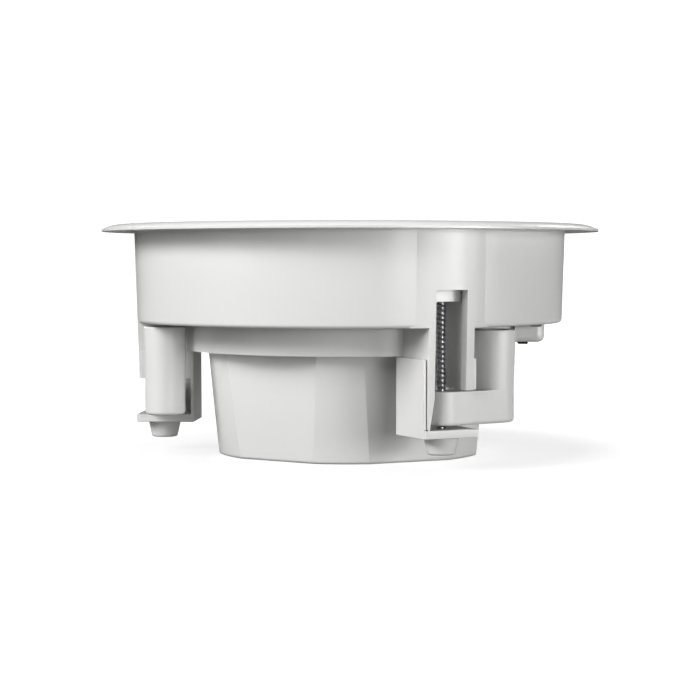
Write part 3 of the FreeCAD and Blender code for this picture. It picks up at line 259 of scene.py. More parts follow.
def rounded(node, width, cutter=None):
    """A piece that stands for a node: the cutter is taken out and the sharp edges are rounded."""
    piece = show(node + "_rounded", outline_mesh(node))
    piece.data.shade_smooth()
    if cutter:
        take_out(piece, cutter)
    soft = piece.modifiers.new("round", "BEVEL")
    soft.width = width
    soft.segments = ROUND_SEGMENTS
    soft.limit_method = "ANGLE"
    soft.angle_limit = settings("speaker_moulding").crease_angle
    soft.use_clamp_overlap = False
    soft.miter_outer = "MITER_ARC"
    even = piece.modifiers.new("even", "WEIGHTED_NORMAL")
    even.keep_sharp = True
    even.weight = FLAT_FACE_WEIGHT
    plain_mesh(piece, node + "_rounded")
    return piece


def smooth_by_angle(mesh, degrees):
    """Smooth shading that breaks at edges sharper than the angle."""
    mesh.shade_smooth()
    mesh.set_sharp_from_angle(angle=math.radians(degrees))


def stand_for(piece, node):
    """The piece takes the node's place, body and finish."""
    slot = SLOT_OF[node]
    piece.data.materials.clear()
    piece.data.materials.append(finish(slot))
    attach(piece, BODY_OF[node])
    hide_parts(node)


def lathe(profile, steps):
    """A closed shell turned about Z from (radius, height) points; the ends lie on the axis."""
    work = bmesh.new()
    rings = []
    for radius, height in profile:
        if radius == 0.0:
            rings.append([work.verts.new((0.0, 0.0, height))])
            continue
        ring = []
        for step in range(steps):
            angle = 2 * math.pi * step / steps
            across, along = radius * math.cos(angle), radius * math.sin(angle)
            ring.append(work.verts.new((across, along, height)))
        rings.append(ring)
    for lower, upper in zip(rings, rings[1:]):
        for step in range(steps):
            after = (step + 1) % steps
            corners = [lower[step % len(lower)], lower[after % len(lower)],
                       upper[after % len(upper)], upper[step % len(upper)]]
            unique = list(dict.fromkeys(corners))
            if len(unique) > 2:
                work.faces.new(unique)
    bmesh.ops.recalc_face_normals(work, faces=work.faces)
    mesh = bpy.data.meshes.new("lathe")
    work.to_mesh(mesh)
    work.free()
    return mesh


# Geometry Nodes

THREAD_TREE = "wound_thread"
TURN_STEPS = 30
CORE_SIDES = 36
DRIVE_TURN = "drive_turn"


def new_tree(name, inputs):
    """A node tree with named inputs; returns the tree, its input node and its output node."""
    tree = bpy.data.node_groups.new(name, "GeometryNodeTree")
    tree.interface.new_socket("Geometry", in_out="INPUT", socket_type="NodeSocketGeometry")
    for label, kind in inputs:
        tree.interface.new_socket(label, in_out="INPUT", socket_type="NodeSocket" + kind)
    tree.interface.new_socket("Geometry", in_out="OUTPUT", socket_type="NodeSocketGeometry")
    return tree, tree.nodes.new("NodeGroupInput"), tree.nodes.new("NodeGroupOutput")


def node_of(tree, kind, links=(), **values):
    """A node with its inputs linked from (socket, input name or number) pairs."""
    node = tree.nodes.new(kind)
    for name, value in values.items():
        setattr(node, name, value)
    for source, target in links:
        tree.links.new(source, node.inputs[target])
    return node


def feed(tree, entry, socket):
    """Sets a socket to a number, or links it from another socket."""
    if isinstance(entry, (int, float)):
        socket.default_value = entry
    else:
        tree.links.new(entry, socket)


def maths(tree, operation, first, second):
    """The result of two numbers or sockets."""
    node = node_of(tree, "ShaderNodeMath", operation=operation)
    feed(tree, first, node.inputs[0])
    feed(tree, second, node.inputs[1])
    return node.outputs[0]


def end_tree(tree, source, given, out):
    """Ends a tree with real geometry in the material that it is given."""
    realize = node_of(tree, "GeometryNodeRealizeInstances", [(source, 0)])
    paint = node_of(tree, "GeometryNodeSetMaterial",
                    [(realize.outputs[0], "Geometry"), (given.outputs["Material"], "Material")])
    tree.links.new(paint.outputs[0], out.inputs[0])
    return tree


def thread_tree():
    """A core with a thread wound round it, standing on Foot; built once."""
    made = bpy.data.node_groups.get(THREAD_TREE)
    if made:
        return made
    tree, given, out = new_tree(THREAD_TREE, [
        ("Radius", "Float"), ("Depth", "Float"), ("Pitch", "Float"), ("Length", "Float"),
        ("Sides", "Int"), ("Foot", "Vector"), ("Material", "Material")])
    mean = maths(tree, "SUBTRACT", given.outputs["Radius"], given.outputs["Depth"])
    turns = maths(tree, "DIVIDE", given.outputs["Length"], given.outputs["Pitch"])
    path = node_of(tree, "GeometryNodeCurveSpiral", [
        (turns, "Rotations"), (mean, "Start Radius"), (mean, "End Radius"),
        (given.outputs["Length"], "Height")])
    path.inputs["Resolution"].default_value = TURN_STEPS
    upright = node_of(tree, "GeometryNodeSetCurveNormal", [(path.outputs[0], "Curve")], mode="Z_UP")
    section = node_of(tree, "GeometryNodeCurvePrimitiveCircle", [
        (given.outputs["Sides"], "Resolution"), (given.outputs["Depth"], "Radius")])
    sweep = node_of(tree, "GeometryNodeCurveToMesh", [
        (upright.outputs[0], "Curve"), (section.outputs[0], "Profile Curve")])
    sweep.inputs["Fill Caps"].default_value = True
    core = node_of(tree, "GeometryNodeMeshCylinder", [
        (mean, "Radius"), (given.outputs["Length"], "Depth")])
    core.inputs["Vertices"].default_value = CORE_SIDES
    half = maths(tree, "MULTIPLY", given.outputs["Length"], 0.5)
    rise = node_of(tree, "ShaderNodeCombineXYZ", [(half, "Z")])
    raised = node_of(tree, "GeometryNodeTransform", [
        (core.outputs[0], "Geometry"), (rise.outputs[0], "Translation")])
    both = node_of(tree, "GeometryNodeJoinGeometry", [(sweep.outputs[0], 0), (raised.outputs[0], 0)])
    placed = node_of(tree, "GeometryNodeTransform", [
        (both.outputs[0], "Geometry"), (given.outputs["Foot"], "Translation")])
    return end_tree(tree, placed.outputs[0], given, out)


def fastener_tree():
    """One fastener on every point of the carrier, turned by the point's own angle."""
    tree, given, out = new_tree("fastener_set", [
        ("Fastener", "Object"), ("Flip", "Vector"), ("Material", "Material")])
    shape = node_of(tree, "GeometryNodeObjectInfo", [(given.outputs["Fastener"], "Object")])
    turn = node_of(tree, "GeometryNodeInputNamedAttribute", data_type="FLOAT")
    turn.inputs["Name"].default_value = DRIVE_TURN
    spin = node_of(tree, "ShaderNodeCombineXYZ", [(turn.outputs["Attribute"], "Z")])
    total = node_of(tree, "ShaderNodeVectorMath", [
        (spin.outputs[0], 0), (given.outputs["Flip"], 1)], operation="ADD")
    rows = node_of(tree, "GeometryNodeInstanceOnPoints", [
        (given.outputs["Geometry"], "Points"), (shape.outputs["Geometry"], "Instance"),
        (total.outputs[0], "Rotation")])
    return end_tree(tree, rows.outputs[0], given, out)


def grow(piece, tree, values):
    """The piece's mesh as the tree makes it from the values."""
    sockets = {
        item.name: item.identifier
        for item in tree.interface.items_tree
        if item.item_type == "SOCKET" and item.in_out == "INPUT"
    }
    make = piece.modifiers.new("grow", "NODES")
    make.node_group = tree
    for name, value in values.items():
        make[sockets[name]] = value
    mesh = plain_mesh(piece, piece.name)
    if not mesh.polygons:
        raise RuntimeError(piece.name + " came out empty")
    return mesh


# Finishes

def shader_group(name, inputs, outputs):
    """A shader node group with its two end nodes, or with None for them if it is there already."""
    group = bpy.data.node_groups.get(name)
    if group:
        return group, None, None
    group = bpy.data.node_groups.new(name, "ShaderNodeTree")
    for label, kind, value in inputs:
        socket = group.interface.new_socket(label, in_out="INPUT", socket_type="NodeSocket" + kind)
        socket.default_value = value
    for label, kind in outputs:
        group.interface.new_socket(label, in_out="OUTPUT", socket_type="NodeSocket" + kind)
    return group, group.nodes.new("NodeGroupInput"), group.nodes.new("NodeGroupOutput")


def noise(tree, vector, scale, detail, rough=0.55):
    """A noise value; the scale may be a socket."""
    node = node_of(tree, "ShaderNodeTexNoise", [(vector, "Vector")])
    node.inputs["Detail"].default_value = detail
    node.inputs["Roughness"].default_value = rough
    feed(tree, scale, node.inputs["Scale"])
    return node.outputs["Fac"]


def spread(tree, value, low, high, source_low=0.3, source_high=0.7):
    """Maps a value, by default a noise's, onto low to high; these two may be sockets."""
    node = node_of(tree, "ShaderNodeMapRange", [(value, "Value")])
    node.inputs["From Min"].default_value = source_low
    node.inputs["From Max"].default_value = source_high
    feed(tree, low, node.inputs["To Min"])
    feed(tree, high, node.inputs["To Max"])
    return node.outputs[0]


def tinted(tree, base, factor):
    """The base colour times a grey factor."""
    node = node_of(tree, "ShaderNodeVectorMath", [(base, 0), (factor, "Scale")], operation="SCALE")
    return node.outputs[0]


def moulded_skin():
    """Plastic or rubber skin: faint flow tones, patches of gloss and a fine grain."""
    group, given, out = shader_group(
        "moulded_skin",
        [("Colour", "Color", (0.8, 0.8, 0.8, 1)), ("Tone", "Float", 0.02),
         ("Gloss Low", "Float", 0.25), ("Gloss High", "Float", 0.4), ("Grain Scale", "Float", 900.0)],
        [("Colour", "Color"), ("Roughness", "Float"), ("Height", "Float")])
    if given is None:
        return group
    where = group.nodes.new("ShaderNodeTexCoord").outputs["Object"]
    flow = noise(group, where, scale=22.0, detail=4.0)
    darker = maths(group, "SUBTRACT", 1.0, given.outputs["Tone"])
    tone = spread(group, flow, darker, 1.0)
    group.links.new(tinted(group, given.outputs["Colour"], tone), out.inputs["Colour"])
    patches = noise(group, where, scale=75.0, detail=5.0, rough=0.6)
    gloss = spread(group, patches, given.outputs["Gloss Low"], given.outputs["Gloss High"])
    group.links.new(gloss, out.inputs["Roughness"])
    grain = noise(group, where, given.outputs["Grain Scale"], detail=3.0, rough=0.6)
    sink = noise(group, where, scale=38.0, detail=2.0)
    sink_share = 3.0
    height = maths(group, "ADD", grain, maths(group, "MULTIPLY", sink, sink_share))
    group.links.new(height, out.inputs["Height"])
    return group


def plated_skin():
    """Plated or ground metal: fine drawn lines, stains and bright rubs."""
    group, given, out = shader_group(
        "plated_skin",
        [("Colour", "Color", (0.5, 0.5, 0.5, 1)), ("Stain", "Float", 0.3),
         ("Gloss Low", "Float", 0.2), ("Gloss High", "Float", 0.45), ("Line Scale", "Float", 700.0)],
        [("Colour", "Color"), ("Roughness", "Float"), ("Height", "Float")])
    if given is None:
        return group
    where = group.nodes.new("ShaderNodeTexCoord").outputs["Object"]
    stretch = node_of(group, "ShaderNodeMapping", [(where, "Vector")])
    stretch.inputs["Scale"].default_value = (1.0, 1.0, 6.0)
    lines = noise(group, stretch.outputs[0], given.outputs["Line Scale"], detail=2.0)
    stains = noise(group, where, scale=160.0, detail=5.0, rough=0.65)
    darker = maths(group, "SUBTRACT", 1.0, given.outputs["Stain"])
    rubbed = 1.08
    tone = spread(group, stains, darker, rubbed)
    group.links.new(tinted(group, given.outputs["Colour"], tone), out.inputs["Colour"])
    mean = maths(group, "ADD", *(maths(group, "MULTIPLY", part, 0.5) for part in (lines, stains)))
    gloss = spread(group, mean, given.outputs["Gloss Low"], given.outputs["Gloss High"])
    group.links.new(gloss, out.inputs["Roughness"])
    group.links.new(lines, out.inputs["Height"])
    return group


def woven_skin():
    """Woven cloth: crossing threads with uneven tone."""
    group, given, out = shader_group(
        "woven_skin",
        [("Colour", "Color", (0.5, 0.5, 0.5, 1)), ("Thread Scale", "Float", 1500.0)],
        [("Colour", "Color"), ("Roughness", "Float"), ("Height", "Float")])
    if given is None:
        return group
    where = group.nodes.new("ShaderNodeTexCoord").outputs["Object"]
    waves = []
    for direction in ("X", "Y"):
        wave = node_of(group, "ShaderNodeTexWave", [
            (where, "Vector"), (given.outputs["Thread Scale"], "Scale")], bands_direction=direction)
        wave.inputs["Distortion"].default_value = 0.4
        waves.append(wave.outputs["Fac"])
    weave = maths(group, "MAXIMUM", *waves)
    patches = noise(group, where, scale=120.0, detail=4.0)
    gaps = spread(group, weave, low=0.55, high=1.0, source_low=0.2, source_high=1.0)
    tone = maths(group, "MULTIPLY", gaps, spread(group, patches, low=0.85, high=1.1))
    group.links.new(tinted(group, given.outputs["Colour"], tone), out.inputs["Colour"])
    group.links.new(spread(group, patches, low=0.7, high=0.95), out.inputs["Roughness"])
    group.links.new(weave, out.inputs["Height"])
    return group


def moulded(tone, gloss, grain, bump, ior):
    """A finish of moulded skin; gloss is the range of its roughness, bump its strength and depth."""
    values = {"Tone": tone, "Gloss Low": gloss[0], "Gloss High": gloss[1], "Grain Scale": grain}
    return moulded_skin, values, bump, {"IOR": ior}


def plated(stain, gloss, lines, bump):
    """A finish of plated or ground metal."""
    values = {"Stain": stain, "Gloss Low": gloss[0], "Gloss High": gloss[1], "Line Scale": lines}
    return plated_skin, values, bump, {"Metallic": 1.0}


def woven(threads, bump):
    """A finish of woven cloth."""
    return woven_skin, {"Thread Scale": threads}, bump, {}


FINISHES = {
    "white_plastic": moulded(tone=0.02, gloss=(0.23, 0.32), grain=1100.0, bump=(0.05, 0.00004), ior=1.53),
    "black_plastic": moulded(tone=0.2, gloss=(0.42, 0.6), grain=1800.0, bump=(0.25, 0.00005), ior=1.5),
    "red_plastic": moulded(tone=0.12, gloss=(0.3, 0.45), grain=1500.0, bump=(0.15, 0.00005), ior=1.5),
    "poly_cone": moulded(tone=0.15, gloss=(0.38, 0.55), grain=700.0, bump=(0.3, 0.0001), ior=1.49),
    "rubber_black": moulded(tone=0.25, gloss=(0.55, 0.75), grain=1300.0, bump=(0.2, 0.00006), ior=1.52),
    "basket_paint": moulded(tone=0.2, gloss=(0.4, 0.55), grain=2200.0, bump=(0.35, 0.00008), ior=1.5),
    "ferrite": moulded(tone=0.3, gloss=(0.5, 0.8), grain=900.0, bump=(0.3, 0.0001), ior=1.9),
    "board_green": moulded(tone=0.2, gloss=(0.25, 0.45), grain=600.0, bump=(0.15, 0.00005), ior=1.55),
    "can_sleeve": moulded(tone=0.15, gloss=(0.2, 0.35), grain=500.0, bump=(0.1, 0.00005), ior=1.5),
    "lead_sleeve": moulded(tone=0.2, gloss=(0.4, 0.55), grain=1600.0, bump=(0.15, 0.00005), ior=1.5),
    "screw_steel": plated(stain=0.35, gloss=(0.13, 0.28), lines=900.0, bump=(0.2, 0.00004)),
    "zinc_steel": plated(stain=0.2, gloss=(0.22, 0.42), lines=700.0, bump=(0.2, 0.00004)),
    "nickel": plated(stain=0.12, gloss=(0.12, 0.25), lines=500.0, bump=(0.1, 0.00003)),
    "former_foil": plated(stain=0.15, gloss=(0.25, 0.45), lines=900.0, bump=(0.2, 0.00004)),
    "copper": plated(stain=0.25, gloss=(0.2, 0.35), lines=1200.0, bump=(0.15, 0.00004)),
    "spider_cloth": woven(threads=260.0, bump=(0.5, 0.0002)),
    "dome_silk": woven(threads=420.0, bump=(0.35, 0.0001)),
}


def finish(slot):
    """The material of a slot, built once."""
    material = bpy.data.materials.get(slot)
    if material:
        return material
    skin, values, (bump_strength, bump_depth), plain = FINISHES[slot]
    material = bpy.data.materials.new(slot)
    material.use_nodes = True
    tree = material.node_tree
    shader = tree.nodes["Principled BSDF"]
    group = tree.nodes.new("ShaderNodeGroup")
    group.node_tree = skin()
    group.inputs["Colour"].default_value = (*getattr(settings("speaker_colours"), slot), 1.0)
    for name, value in values.items():
        group.inputs[name].default_value = value
    for name, value in plain.items():
        shader.inputs[name].default_value = value
    bump = tree.nodes.new("ShaderNodeBump")
    bump.inputs["Strength"].default_value = bump_strength
    bump.inputs["Distance"].default_value = bump_depth
    tree.links.new(group.outputs["Colour"], shader.inputs["Base Color"])
    tree.links.new(group.outputs["Roughness"], shader.inputs["Roughness"])
    tree.links.new(group.outputs["Height"], bump.inputs["Height"])
    tree.links.new(bump.outputs["Normal"], shader.inputs["Normal"])
    return material


# Pieces

# The space in front of a cap's guide wall, for a clamp on the X axis
WALL_SPACE_REACH = 100.0 * MM
WALL_SPACE_ACROSS = (-15.0 * MM, -11.8 * MM)
WALL_SPACE_HEIGHT = (17.6 * MM, 50.0 * MM)

# Clamp screws
CLAMP_SHANK_RADIUS = 2.0 * MM
CLAMP_HEAD_HEIGHT = 3.0 * MM
CLAMP_TIP = 0.5 * MM
CLAMP_RECESS = 2.4 * MM

# Small screws
SMALL_SHANK_RADIUS = 1.28 * MM
SMALL_THREAD_DEPTH = 0.3 * MM
SMALL_THREAD_PITCH = 1.1 * MM
SMALL_HEAD_HEIGHT = 1.6 * MM
SMALL_RECESS = 1.7 * MM
FIRST_DRIVE_TURN = 0.4
NEXT_DRIVE_TURN = 1.9
# Node, number of screws, whether the heads are below
SMALL_SCREWS = (
    ("cover_screws", 3, True),
    ("driver_screws", 6, False),
    ("bridge_screws", 3, False),
    ("terminal_screws", 2, True),
)

# All screws; the recess's width, depth and foot are shares of its radius, the head's height and its top
HEAD_SIDES = 32
CROWN_STEPS = 6
CROWN_FLAT = 0.62
RECESS_WIDTH = 0.5
RECESS_DEPTH = 1.3
RECESS_FOOT_LENGTH = 0.45
RECESS_FOOT_WIDTH = 0.7
THREAD_SIDES = 4
SCREW_CREASE = 42

# Crossover coil
BOBBIN_FLANGE = 0.9 * MM
WINDING_INSET = 0.15 * MM
WIRE_SIDES = 10
WIRE_CREASE = 60


class SPEAKER_OT_mouldings(bpy.types.Operator):
    """Rounds the terminal block and its buttons"""

    bl_idname = "speaker.mouldings"
    bl_label = "Mouldings"

    def execute(self, context):
        sizes = settings("speaker_moulding")
        for node in ("terminal_block", "terminal_button_plus", "terminal_button_minus"):
            stand_for(rounded(node, sizes.fine_round), node)
        return {"FINISHED"}


class SPEAKER_OT_clamps(bpy.types.Operator):
    """Rounds the three clamp caps and sets their guide walls back from the legs' faces"""

    bl_idname = "speaker.clamps"
    bl_label = "Clamp caps"

    def execute(self, context):
        sizes = settings("speaker_moulding")
        reach = (sizes.wall_front, WALL_SPACE_REACH)
        low, high = zip(reach, WALL_SPACE_ACROSS, WALL_SPACE_HEIGHT)
        for station in STATIONS:
            node = "clamp_cap_" + station
            cutter = block(low, high, station_turn(station))
            stand_for(rounded(node, sizes.edge_round, cutter=cutter), node)
            bpy.data.objects.remove(cutter)
        return {"FINISHED"}


def screw_head(radius, height, crown, recess):
    """A pan head standing on z = 0, with a cross recess in its top."""
    low = height * (1.0 - crown)
    profile = [(0.0, 0.0), (radius, 0.0), (radius, low)]
    for step in range(1, CROWN_STEPS + 1):
        angle = math.pi / 2 * step / CROWN_STEPS
        across = radius * (CROWN_FLAT + (1.0 - CROWN_FLAT) * math.cos(angle))
        profile.append((across, low + (height - low) * math.sin(angle)))
    profile.append((0.0, height))
    head = show("head", lathe(profile, HEAD_SIDES))
    cut = bmesh.new()
    for turn in (0.0, math.pi / 2):
        arm = bmesh.ops.create_cube(cut, size=1.0)["verts"]
        for point in arm:
            at_foot = point.co.z < 0
            point.co.x *= 2 * recess * (RECESS_FOOT_LENGTH if at_foot else 1.0)
            point.co.y *= recess * RECESS_WIDTH * (RECESS_FOOT_WIDTH if at_foot else 1.0)
            point.co.z *= height * RECESS_DEPTH
        place = Matrix.Translation((0, 0, height)) @ Matrix.Rotation(turn, 4, "Z")
        bmesh.ops.transform(cut, matrix=place, verts=arm)
    cutter_mesh = bpy.data.meshes.new("cutter")
    cut.to_mesh(cutter_mesh)
    cut.free()
    cutter = show("cutter", cutter_mesh)
    take_out(head, cutter, crossing=True)
    mesh = plain_mesh(head, "screw_head")
    bpy.data.objects.remove(head)
    bpy.data.objects.remove(cutter)
    return mesh


def joined(meshes, name):
    """Several meshes in one, each with its own place."""
    work = bmesh.new()
    for mesh, place in meshes:
        part = mesh.copy()
        part.transform(place)
        work.from_mesh(part)
        bpy.data.meshes.remove(part)
    mesh = bpy.data.meshes.new(name)
    work.to_mesh(mesh)
    work.free()
    return mesh


class SPEAKER_OT_clamp_screws(bpy.types.Operator):
    """Winds the coarse thread of the three clamp screws and sets their heads"""

    bl_idname = "speaker.clamp_screws"
    bl_label = "Clamp screws"

    def execute(self, context):
        sizes = settings("speaker_fasteners")
        tree = thread_tree()
        for station in STATIONS:
            node = "clamp_screw_" + station
            low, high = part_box(node)
            middle = (low + high) / 2
            shank = show(node + "_thread", bpy.data.meshes.new(node))
            grow(shank, tree, {
                "Radius": CLAMP_SHANK_RADIUS, "Depth": sizes.thread_depth, "Pitch": sizes.thread_pitch,
                "Length": high.z - low.z - CLAMP_HEAD_HEIGHT - CLAMP_TIP, "Sides": THREAD_SIDES,
                "Foot": (middle.x, middle.y, low.z + CLAMP_TIP), "Material": finish("screw_steel")})
            head = screw_head((high.x - low.x) / 2, CLAMP_HEAD_HEIGHT, sizes.head_crown, CLAMP_RECESS)
            place = Matrix.Translation((middle.x, middle.y, high.z - CLAMP_HEAD_HEIGHT))
            shank.data = joined([(shank.data, Matrix.Identity(4)), (head, place)], node + "_thread")
            smooth_by_angle(shank.data, SCREW_CREASE)
            stand_for(shank, node)
        return {"FINISHED"}


def islands(mesh):
    """The low and the high corner of each of a mesh's separate shells."""
    work = bmesh.new()
    work.from_mesh(mesh)
    bmesh.ops.remove_doubles(work, verts=work.verts, dist=MERGE_GAP)
    left = set(work.verts)
    found = []
    while left:
        seeds = [left.pop()]
        shell = []
        while seeds:
            point = seeds.pop()
            shell.append(point.co.copy())
            for edge in point.link_edges:
                other = edge.other_vert(point)
                if other in left:
                    left.discard(other)
                    seeds.append(other)
        low = Vector(min(point[axis] for point in shell) for axis in range(3))
        high = Vector(max(point[axis] for point in shell) for axis in range(3))
        found.append((low, high))
    work.free()
    return found


class SPEAKER_OT_small_screws(bpy.types.Operator):
    """Sets the small pan-head screws of the cover, driver, bridge and terminal"""

    bl_idname = "speaker.small_screws"
    bl_label = "Small screws"

    def execute(self, context):
        crown = settings("speaker_fasteners").head_crown
        tree = fastener_tree()
        for node, count, head_down in SMALL_SCREWS:
            found = islands(NODES[node].data)
            if len(found) != count:
                raise RuntimeError(f"{node}: {len(found)} screws, not {count}")
            low, high = found[0]
            length = high.z - low.z - SMALL_HEAD_HEIGHT
            shank = show("shank", bpy.data.meshes.new("shank"))
            grow(shank, thread_tree(), {
                "Radius": SMALL_SHANK_RADIUS, "Depth": SMALL_THREAD_DEPTH, "Pitch": SMALL_THREAD_PITCH,
                "Length": length, "Sides": THREAD_SIDES,
                "Foot": (0.0, 0.0, -length), "Material": finish("screw_steel")})
            head = screw_head((high.x - low.x) / 2, SMALL_HEAD_HEIGHT, crown, SMALL_RECESS)
            here = Matrix.Identity(4)
            whole = joined([(shank.data, here), (head, here)], "small_screw")
            smooth_by_angle(whole, SCREW_CREASE)
            bpy.data.objects.remove(shank)
            fastener = show("small_screw", whole)
            carrier = bpy.data.meshes.new(node)
            carrier.from_pydata([
                ((near.x + far.x) / 2, (near.y + far.y) / 2,
                 near.z + SMALL_HEAD_HEIGHT if head_down else far.z - SMALL_HEAD_HEIGHT)
                for near, far in found], [], [])
            turns = carrier.attributes.new(DRIVE_TURN, "FLOAT", "POINT")
            for number, entry in enumerate(turns.data):
                entry.value = FIRST_DRIVE_TURN + NEXT_DRIVE_TURN * number
            piece = show(node + "_set", carrier)
            flip = (math.pi, 0.0, 0.0) if head_down else (0.0, 0.0, 0.0)
            grow(piece, tree, {"Fastener": fastener, "Flip": flip, "Material": finish("screw_steel")})
            bpy.data.objects.remove(fastener)
            stand_for(piece, node)
        return {"FINISHED"}


class SPEAKER_OT_windings(bpy.types.Operator):
    """Winds the copper wire of the crossover coil"""

    bl_idname = "speaker.windings"
    bl_label = "Windings"

    def execute(self, context):
        wire = settings("speaker_fasteners").wire
        low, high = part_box("crossover_coil")
        middle = (low + high) / 2
        piece = show("crossover_winding", bpy.data.meshes.new("crossover_winding"))
        grow(piece, thread_tree(), {
            "Radius": (high.x - low.x) / 2 - WINDING_INSET, "Depth": wire / 2, "Pitch": wire,
            "Length": high.z - low.z - 2 * BOBBIN_FLANGE - wire, "Sides": WIRE_SIDES,
            "Foot": (middle.x, middle.y, low.z + BOBBIN_FLANGE + wire / 2),
            "Material": finish("copper")})
        smooth_by_angle(piece.data, WIRE_CREASE)
        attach(piece, "frame_body")
        return {"FINISHED"}


class SPEAKER_OT_finishes(bpy.types.Operator):
    """Paints every node that is shown as it is"""

    bl_idname = "speaker.finishes"
    bl_label = "Finishes"

    def execute(self, context):
        for node, item in NODES.items():
            if item.hide_render:
                continue
            item.data.materials.clear()
            item.data.materials.append(finish(SLOT_OF[node]))
        return {"FINISHED"}


# Stage

# Lamps: group, share of its power, azimuth and elevation in degrees, distance, width and height
LAMPS = (
    ("key", 0.38, -63, 18, 1.6, 0.75, 0.75),
    ("key", 0.30, -63, 28, 1.6, 0.5, 0.5),
    ("key", 0.32, -35, 25, 1.6, 0.5, 0.5),
    ("side", 0.57, 42, 1, 1.6, 1.2, 0.3),
    ("side", 0.43, 62, 4, 1.6, 0.9, 0.6),
    ("top", 1.0, -20, 84, 1.5, 0.5, 0.5),
    ("back", 0.5, -140, 22, 1.6, 0.8, 0.8),
    ("back", 0.5, 145, 18, 1.6, 0.8, 0.8),
)
LAMP_TARGET = (0.0, 0.0, 0.06)

# The floor: half its width, roughness, its greys, and its glow from near the speaker to far away
FLOOR_REACH = 40.0
FLOOR_ROUGHNESS = 0.6
FLOOR_GREY_TO_SPEAKER = 0.08
FLOOR_GREY_TO_CAMERA = 0.3
FLOOR_GLOW = (0.7, 1.02)
FLOOR_GLOW_RISE = (0.25, 0.9)

BACKDROP = 1.05
SENSOR_WIDTH = 36.0
CLIP_START = 0.01
CLIP_END = 200.0


def lamp(name, azimuth, elevation, distance, width, height, power):
    """A soft lamp that faces the speaker; azimuth is counted from the camera's side."""
    data = bpy.data.lights.new(name, "AREA")
    data.shape = "RECTANGLE"
    data.size = width
    data.size_y = height
    data.energy = power
    item = bpy.data.objects.new(name, data)
    bpy.context.scene.collection.objects.link(item)
    turn = settings("speaker_stage").azimuth + math.radians(azimuth)
    lift = math.radians(elevation)
    level = math.cos(lift)
    back = Vector((math.sin(turn) * level, -math.cos(turn) * level, math.sin(lift)))
    item.location = Vector(LAMP_TARGET) + back * distance
    item.rotation_euler = (-back).to_track_quat("-Z", "Y").to_euler()


def floor_paint():
    """Pale floor: evenly white to the camera, where it isn't shaded, and dim to the speaker."""
    material = bpy.data.materials.new("pale_floor")
    material.use_nodes = True
    tree = material.node_tree
    dim = tree.nodes["Principled BSDF"]
    pale = tree.nodes.new("ShaderNodeBsdfPrincipled")
    for shader, grey in ((dim, FLOOR_GREY_TO_SPEAKER), (pale, FLOOR_GREY_TO_CAMERA)):
        shader.inputs["Roughness"].default_value = FLOOR_ROUGHNESS
        shader.inputs["Base Color"].default_value = (grey, grey, grey, 1.0)
        shader.inputs["Emission Color"].default_value = WHITE
    dim.inputs["Emission Strength"].default_value = settings("speaker_stage").fill
    where = tree.nodes.new("ShaderNodeTexCoord").outputs["Object"]
    away = node_of(tree, "ShaderNodeVectorMath", [(where, 0)], operation="LENGTH").outputs["Value"]
    glow = spread(tree, away, *FLOOR_GLOW, *FLOOR_GLOW_RISE)
    tree.links.new(glow, pale.inputs["Emission Strength"])
    seen = tree.nodes.new("ShaderNodeLightPath").outputs["Is Camera Ray"]
    both = node_of(tree, "ShaderNodeMixShader", [
        (seen, 0), (dim.outputs[0], 1), (pale.outputs[0], 2)])
    tree.links.new(both.outputs[0], tree.nodes["Material Output"].inputs["Surface"])
    return material


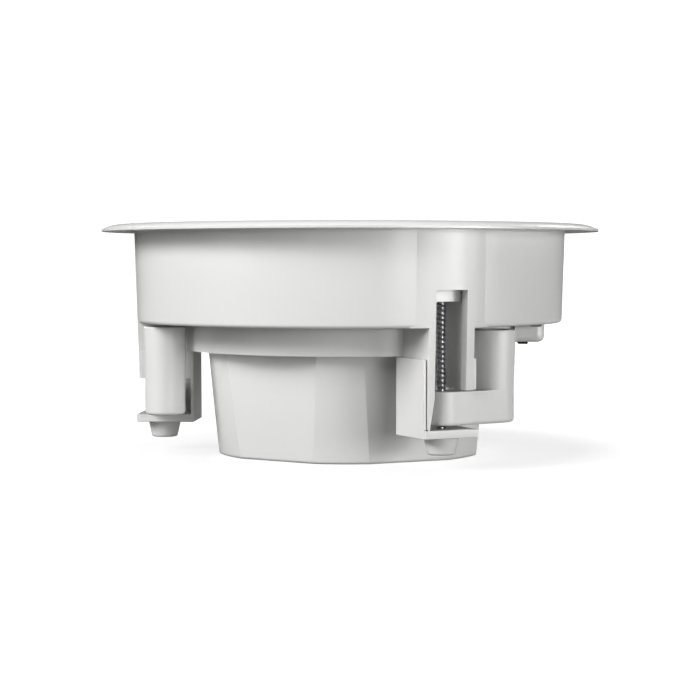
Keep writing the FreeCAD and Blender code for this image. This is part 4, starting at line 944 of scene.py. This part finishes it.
class SPEAKER_OT_stage(bpy.types.Operator):
    """Makes the floor, the lamps, the surrounding light and the camera"""

    bl_idname = "speaker.stage"
    bl_label = "Stage"

    def execute(self, context):
        scene = context.scene
        stage = settings("speaker_stage")
        mesh = bpy.data.meshes.new("floor")
        sides = ((-1, -1), (1, -1), (1, 1), (-1, 1))
        corners = [(across * FLOOR_REACH, along * FLOOR_REACH, 0.0) for across, along in sides]
        mesh.from_pydata(corners, [], [(0, 1, 2, 3)])
        mesh.materials.append(floor_paint())
        show("floor", mesh)

        world = bpy.data.worlds.new("studio")
        world.use_nodes = True
        scene.world = world
        tree = world.node_tree
        sky = tree.nodes["Background"]
        sky.inputs["Color"].default_value = WHITE
        seen = tree.nodes.new("ShaderNodeLightPath").outputs["Is Camera Ray"]
        glow = spread(tree, seen, stage.ambient, BACKDROP, source_low=0.0, source_high=1.0)
        tree.links.new(glow, sky.inputs["Strength"])

        for group, share, *place in LAMPS:
            lamp(group + "_lamp", *place, share * getattr(stage, group))

        data = bpy.data.cameras.new("camera")
        data.lens = stage.lens
        data.sensor_width = SENSOR_WIDTH
        data.clip_start = CLIP_START
        data.clip_end = CLIP_END
        camera = bpy.data.objects.new("camera", data)
        scene.collection.objects.link(camera)
        camera.location = (math.sin(stage.azimuth) * stage.distance,
                           -math.cos(stage.azimuth) * stage.distance, stage.eye)
        look = Vector((0.0, 0.0, stage.aim)) - camera.location
        camera.rotation_euler = look.to_track_quat("-Z", "Y").to_euler()
        scene.camera = camera
        scene.view_settings.view_transform = "Standard"
        scene.view_settings.look = "None"
        scene.view_settings.exposure = stage.exposure
        scene.view_settings.gamma = stage.gamma
        return {"FINISHED"}


STEPS = (
    SPEAKER_OT_mouldings,
    SPEAKER_OT_clamps,
    SPEAKER_OT_clamp_screws,
    SPEAKER_OT_small_screws,
    SPEAKER_OT_windings,
    SPEAKER_OT_finishes,
    SPEAKER_OT_stage,
)


class SPEAKER_PT_sidebar(bpy.types.Panel):
    """Lists the speaker's steps and values"""

    bl_idname = "SPEAKER_PT_sidebar"
    bl_label = "Marine speaker"
    bl_space_type = "VIEW_3D"
    bl_region_type = "UI"
    bl_category = "Speaker"

    def draw(self, context):
        for step in STEPS:
            self.layout.operator(step.bl_idname)
        for name, group in GROUPS:
            box = self.layout.box()
            box.label(text=group.__doc__)
            for value in group.__annotations__:
                box.prop(getattr(context.scene, name), value)


CLASSES = tuple(group for _, group in GROUPS) + STEPS + (SPEAKER_PT_sidebar,)


def register():
    for item in CLASSES:
        bpy.utils.register_class(item)
    for name, group in GROUPS:
        setattr(bpy.types.Scene, name, bpy.props.PointerProperty(type=group))


def unregister():
    for name, _ in GROUPS:
        delattr(bpy.types.Scene, name)
    for item in reversed(CLASSES):
        bpy.utils.unregister_class(item)


def main():
    register()
    bpy.ops.speaker.mouldings()
    bpy.ops.speaker.clamps()
    bpy.ops.speaker.clamp_screws()
    bpy.ops.speaker.small_screws()
    bpy.ops.speaker.windings()
    bpy.ops.speaker.finishes()
    bpy.ops.speaker.stage()


if __name__ == "__main__":
    main()
